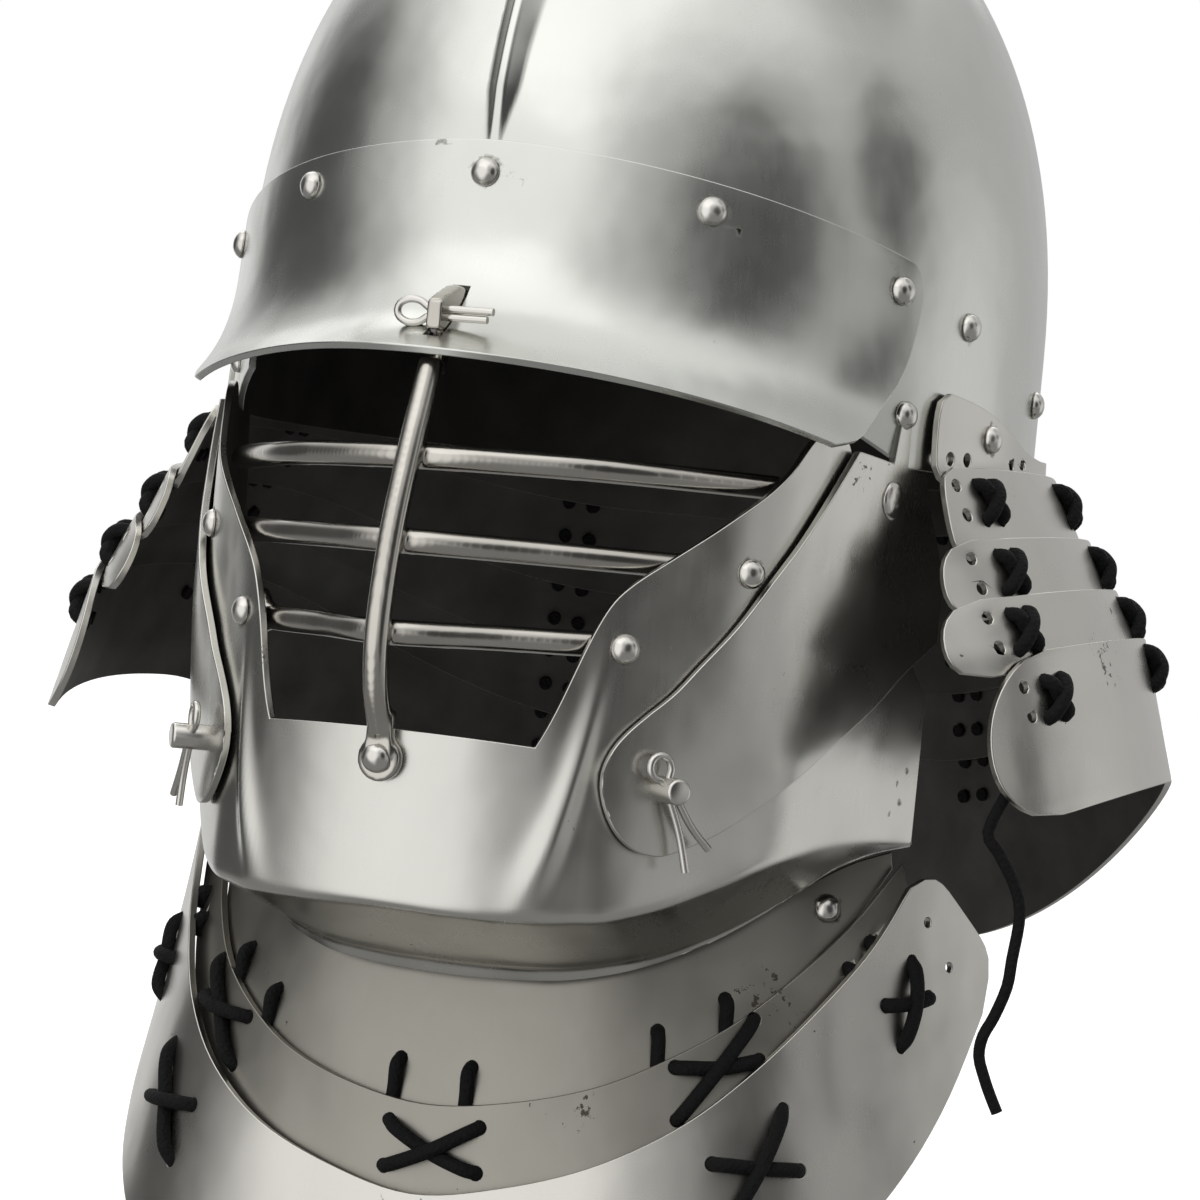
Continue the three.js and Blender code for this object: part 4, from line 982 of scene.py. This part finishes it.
def rivetShape(head):  # a hand-set dome, spun from its half section
    bm = bmesh.new()
    radius, rise, shank = (head[key] * 0.001 for key in ("radius", "rise", "shank"))
    section = [(radius * x, rise * z) for x, z in domeSection] + [(shank, -0.0002), (shank, -0.002)]
    verts = [bm.verts.new((x, 0, z)) for x, z in section]
    edges = [bm.edges.new(pair) for pair in zip(verts, verts[1:])]
    bmesh.ops.spin(
        bm, geom=verts + edges, axis=(0, 0, 1), cent=(0, 0, 0), steps=28, angle=2 * math.pi, use_merge=True,
    )
    bmesh.ops.remove_doubles(bm, verts=bm.verts, dist=1e-7)
    bmesh.ops.holes_fill(bm, edges=[edge for edge in bm.edges if edge.is_boundary])
    bmesh.ops.recalc_face_normals(bm, faces=bm.faces)
    return bm


rivetSeats = []


def makeRivets():
    for name, plate, (x, forward, height) in rivetRows:
        for side in ("left", "right") if x else ("",):
            target = plate[side] if isinstance(plate, dict) else plate
            aim = place(-x if side == "right" else x, forward, height)
            spot, normal = seatOn(target, aim)
            rivetSeats.append((target, spot))
            bm = rivetShape(flatHead if name == "side_plate" else rivetHead)
            for vert in bm.verts:  # hammer marks
                vert.co += vert.normal * noise.noise(vert.co * 420 + spot * 3000) * 0.00014
            turn = normal.to_track_quat("Z", "Y").to_matrix().to_4x4()
            bm.transform(Matrix.Translation(spot + normal * 0.0001) @ turn)
            node = "rivet_" + name + ("_" + side if side else "")
            pieceName = "rivet_" + name.replace("_", "") + side.capitalize()
            finishPiece(pieceName, bm, [rivetSteel], node)


makeRivets()
print("rivets made:", len(rivetSeats))

stud = {
    "aim": (4.78, -93), "radius": 3.2, "outside": 8.5, "inside": 7.5, "pinHeight": 3.6, "pinRear": 0.5, "pinDown": 0.85,
}
cotter = {"wire": 0.95, "spacing": 1.0, "eyeStart": 2.6, "eyeHalf": 2.8}
sideCotter = {"legs": 20, "spread": 3, "eye": 6.5}
topCotter = {"legs": 14, "spread": 0, "eye": 8.5, "middle": (0, 141.4, 15.9)}


def makeCotter(side, shape, middle, along, across):
    spot = lambda reach, offset: middle + (along * reach + across * offset) * 0.001
    legs, spread, length = shape["legs"], shape["spread"], shape["eye"]
    start, half, gap = cotter["eyeStart"], cotter["eyeHalf"], cotter["spacing"]
    upper = [(legs, gap + spread), (legs * 0.55, gap + spread * 0.3), (start, gap), (-start, gap)]
    upper += [(-start - length * reach, half * share) for reach, share in ((0.3, 0.9), (0.65, 1), (0.92, 0.6))]
    lower = [(reach * (0.9 if reach == legs else 1), -offset) for reach, offset in reversed(upper)]
    path = [spot(reach, offset) for reach, offset in upper + [(-start - length, 0)] + lower]
    mesh = wireMesh("cotter" + side.capitalize(), [path], cotter["wire"] * 0.001)
    finishMesh("cotter" + side.capitalize(), mesh, [rivetSteel], "cotter_pin_" + side)


def makeStuds():
    for side in ("left", "right"):
        aim = wallPoint(*stud["aim"], sideGrid["lift"])
        if side == "right":
            aim.x = -aim.x
        spot, normal = seatOn(sidePlates[side], aim)
        bm = bmesh.new()
        inner, outer = spot - normal * stud["inside"] * 0.001, spot + normal * stud["outside"] * 0.001
        addRod(bm, inner, outer, stud["radius"] * 0.001)
        rims = [edge for edge in bm.edges if len(edge.link_faces) == 2 and edge.calc_face_angle(0) > 1]
        bmesh.ops.bevel(
            bm, geom=rims, offset=0.0008, offset_type="OFFSET", segments=3, profile=0.5, affect="EDGES", material=-1,
        )
        finishPiece("lockStud" + side.capitalize(), bm, [rivetSteel], "lock_stud_" + side)
        rearward = Vector((0, 1, 0)) - normal * normal.y
        along = rearward.normalized() * stud["pinRear"] + Vector((0, 0, -stud["pinDown"]))
        along = (along - normal * along.dot(normal)).normalized()
        pinSpot = spot + normal * stud["pinHeight"] * 0.001
        makeCotter(side, sideCotter, pinSpot, along, along.cross(normal).normalized())
    makeCotter("top", topCotter, place(*topCotter["middle"]), Vector((1, 0, 0)), Vector((0, 0, 1)))


makeStuds()
print("studs and split pins made")


browScuffs = [  # across and down the brow plate: short black marks by its top edge and rivets
    (-0.385, 0.02, -0.345, 0.02), (-0.13, 0.015, -0.09, 0.015), (0.05, 0.13, 0.09, 0.2), (0.5, 0.2, 0.545, 0.24),
    (0.9, 0.08, 0.93, 0.13), (-0.44, 0.16, -0.43, 0.2),
]
cheekPits = [  # station and height of rust by the cheek's rear edge
    (8.8, -70), (9, -75), (9.1, -73), (9.2, -80), (9.3, -84), (9.5, -88), (9.6, -93), (9.7, -85), (9.4, -96),
    (9.75, -98), (8.5, -60),
]
sootReach = {"rivet": (3.2, 5.0), "scuff": (0.6, 1.6), "pit": (0.5, 2.4)}  # full radius and fade in millimetres


def addSoot():  # handling marks and scale round the rivets, kept on the plates for the steel to read
    for plate in {target.name: target for target, spot in rivetSeats}.values():
        attribute = plate.data.attributes.new("soot", "FLOAT", "POINT")
        spots = [(spot, *sootReach["rivet"]) for target, spot in rivetSeats if target == plate]
        if plate == browPlate:
            for across, share, acrossEnd, shareEnd in browScuffs:
                for step in range(6):
                    at, down = mix(across, acrossEnd, step / 5), mix(share, shareEnd, step / 5)
                    spots.append((browSpot(at, down), *sootReach["scuff"]))
        if plate == facePlate:
            spots += [(wallPoint(*spot, 0), *sootReach["pit"]) for spot in cheekPits]
        values = []
        for vert in plate.data.vertices:
            levels = [1 - ease(((vert.co - spot).length * 1000 - near) / fade) for spot, near, fade in spots]
            values.append(max(levels))
        attribute.data.foreach_set("value", values)


addSoot()


# stage: a pale floor and a soft studio, brightest in front and overhead, dark where the photographer stands
studio = {
    "room": 0.6, "overhead": 1.15, "ground": 0.3, "overheadRise": (0.4, 0.95), "groundRise": (-0.4, 0.1),
    "patchFull": 0.65, "patchGone": 1.4, "boxMiddle": -0.2, "floorGap": 0.0005, "floorSize": 12.0,
}
roomParts = [  # degrees round from the front, degrees up, half width and half height in degrees, brightness
    {"azimuth": -18, "elevation": 9, "width": 34, "height": 54, "level": 1.35},
    {"azimuth": 132, "elevation": -5, "width": 17, "height": 20, "level": 0.92},
    {"azimuth": 128, "elevation": 52, "width": 30, "height": 15, "level": 0.55},
    {"azimuth": -97, "elevation": 7, "width": 25, "height": 24, "level": 0.1},
    {"azimuth": -135, "elevation": 0, "width": 14, "height": 20, "level": 0.95},
    {"azimuth": 61, "elevation": 10, "width": 21, "height": 25, "level": 0.06},
    {"azimuth": 107, "elevation": 20, "width": 9, "height": 13, "level": 0.1},
]
softBoxes = [
    {"azimuth": -25, "elevation": 58, "distance": 1.9, "size": (2.2, 1.8), "power": 5},
    {"azimuth": 205, "elevation": 45, "distance": 2.0, "size": (2.0, 1.6), "power": 8},
]


def towards(azimuth, elevation):
    turn, rise = math.radians(azimuth), math.radians(elevation)
    return Vector((math.sin(turn) * math.cos(rise), -math.cos(turn) * math.cos(rise), math.sin(rise)))


def makeRoom():
    world = bpy.data.worlds.new("studio")
    scene.world = world
    world.use_nodes = True
    tree = world.node_tree
    background = tree.nodes["Background"]
    background.inputs["Color"].default_value = linear("#ffffff")
    direction = addNode(tree, "ShaderNodeTexCoord").outputs["Generated"]
    axes = addNode(tree, "ShaderNodeSeparateXYZ", {"Vector": direction}).outputs
    front = addNode(tree, "ShaderNodeMath", {0: axes["Y"], 1: -1.0}, operation="MULTIPLY")
    turn = addNode(tree, "ShaderNodeMath", {0: axes["X"], 1: front.outputs[0]}, operation="ARCTAN2")
    rise = addNode(tree, "ShaderNodeMath", {0: axes["Z"]}, operation="ARCSINE")
    angles = addNode(tree, "ShaderNodeCombineXYZ", {"X": turn.outputs[0], "Y": rise.outputs[0]})
    upper = addNode(tree, "ShaderNodeMapRange", {"Value": rise.outputs[0]}, interpolation_type="SMOOTHSTEP")
    lower = addNode(tree, "ShaderNodeMapRange", {"Value": rise.outputs[0]}, interpolation_type="SMOOTHSTEP")
    upperValues = (*studio["overheadRise"], studio["room"], studio["overhead"])
    lowerValues = (*studio["groundRise"], studio["ground"], studio["room"])
    for node, values in ((upper, upperValues), (lower, lowerValues)):
        for socket, value in zip(("From Min", "From Max", "To Min", "To Max"), values):
            node.inputs[socket].default_value = value
    level = lower.outputs["Result"]
    for operation, value in (("ADD", upper.outputs["Result"]), ("SUBTRACT", studio["room"])):
        level = addNode(tree, "ShaderNodeMath", {0: level, 1: value}, operation=operation).outputs[0]
    for part in roomParts:
        middle = Vector((math.radians(part["azimuth"]), math.radians(part["elevation"]), 0))
        scale = Vector((1 / math.radians(part["width"]), 1 / math.radians(part["height"]), 0))
        shift = addNode(tree, "ShaderNodeVectorMath", {0: angles.outputs["Vector"], 1: middle}, operation="SUBTRACT")
        reach = addNode(tree, "ShaderNodeVectorMath", {0: shift.outputs["Vector"], 1: scale}, operation="MULTIPLY")
        away = addNode(tree, "ShaderNodeVectorMath", {0: reach.outputs["Vector"]}, operation="LENGTH")
        patch = addNode(tree, "ShaderNodeMapRange", {"Value": away.outputs["Value"]}, interpolation_type="SMOOTHSTEP")
        patch.inputs["From Min"].default_value = studio["patchGone"]
        patch.inputs["From Max"].default_value = studio["patchFull"]
        shade = addNode(tree, "ShaderNodeMix", {"Factor": patch.outputs["Result"], "A": level, "B": part["level"]})
        level = shade.outputs["Result"]
    seen = addNode(tree, "ShaderNodeLightPath").outputs["Is Camera Ray"]
    strength = addNode(tree, "ShaderNodeMix", {"Factor": seen, "A": level, "B": 1.0})
    tree.links.new(strength.outputs["Result"], background.inputs["Strength"])
    for index, soft in enumerate(softBoxes):
        data = bpy.data.lights.new("softBox" + str(index), "AREA")
        data.shape = "RECTANGLE"
        data.size, data.size_y = soft["size"]
        data.energy = soft["power"]
        lamp = bpy.data.objects.new(data.name, data)
        aim = towards(soft["azimuth"], soft["elevation"])
        turn = aim.to_track_quat("Z", "Y").to_matrix().to_4x4()
        lamp.matrix_world = Matrix.Translation(aim * soft["distance"] + Vector((0, 0, studio["boxMiddle"]))) @ turn
        scene.collection.objects.link(lamp)


def makeFloor():
    bm = bmesh.new()
    bmesh.ops.create_grid(bm, x_segments=1, y_segments=1, size=studio["floorSize"])
    bmesh.ops.translate(bm, vec=(0, 0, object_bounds()[0].z - studio["floorGap"]), verts=bm.verts)
    mesh = bpy.data.meshes.new("floor")
    bm.to_mesh(mesh)
    bm.free()
    material, tree, shader, spot = newMaterial("white paper sweep")
    shader.inputs["Base Color"].default_value = linear("#e6e6e4")
    shader.inputs["Roughness"].default_value = 0.9
    shader.inputs["Emission Color"].default_value = linear("#ffffff")
    shader.inputs["Emission Strength"].default_value = 0.45
    mesh.materials.append(material)
    floor = bpy.data.objects.new("floor", mesh)
    scene.collection.objects.link(floor)
    floor.visible_glossy = False
    floor.visible_diffuse = False


makeRoom()
makeFloor()
scene.view_settings.view_transform = "Standard"
print("stage made")
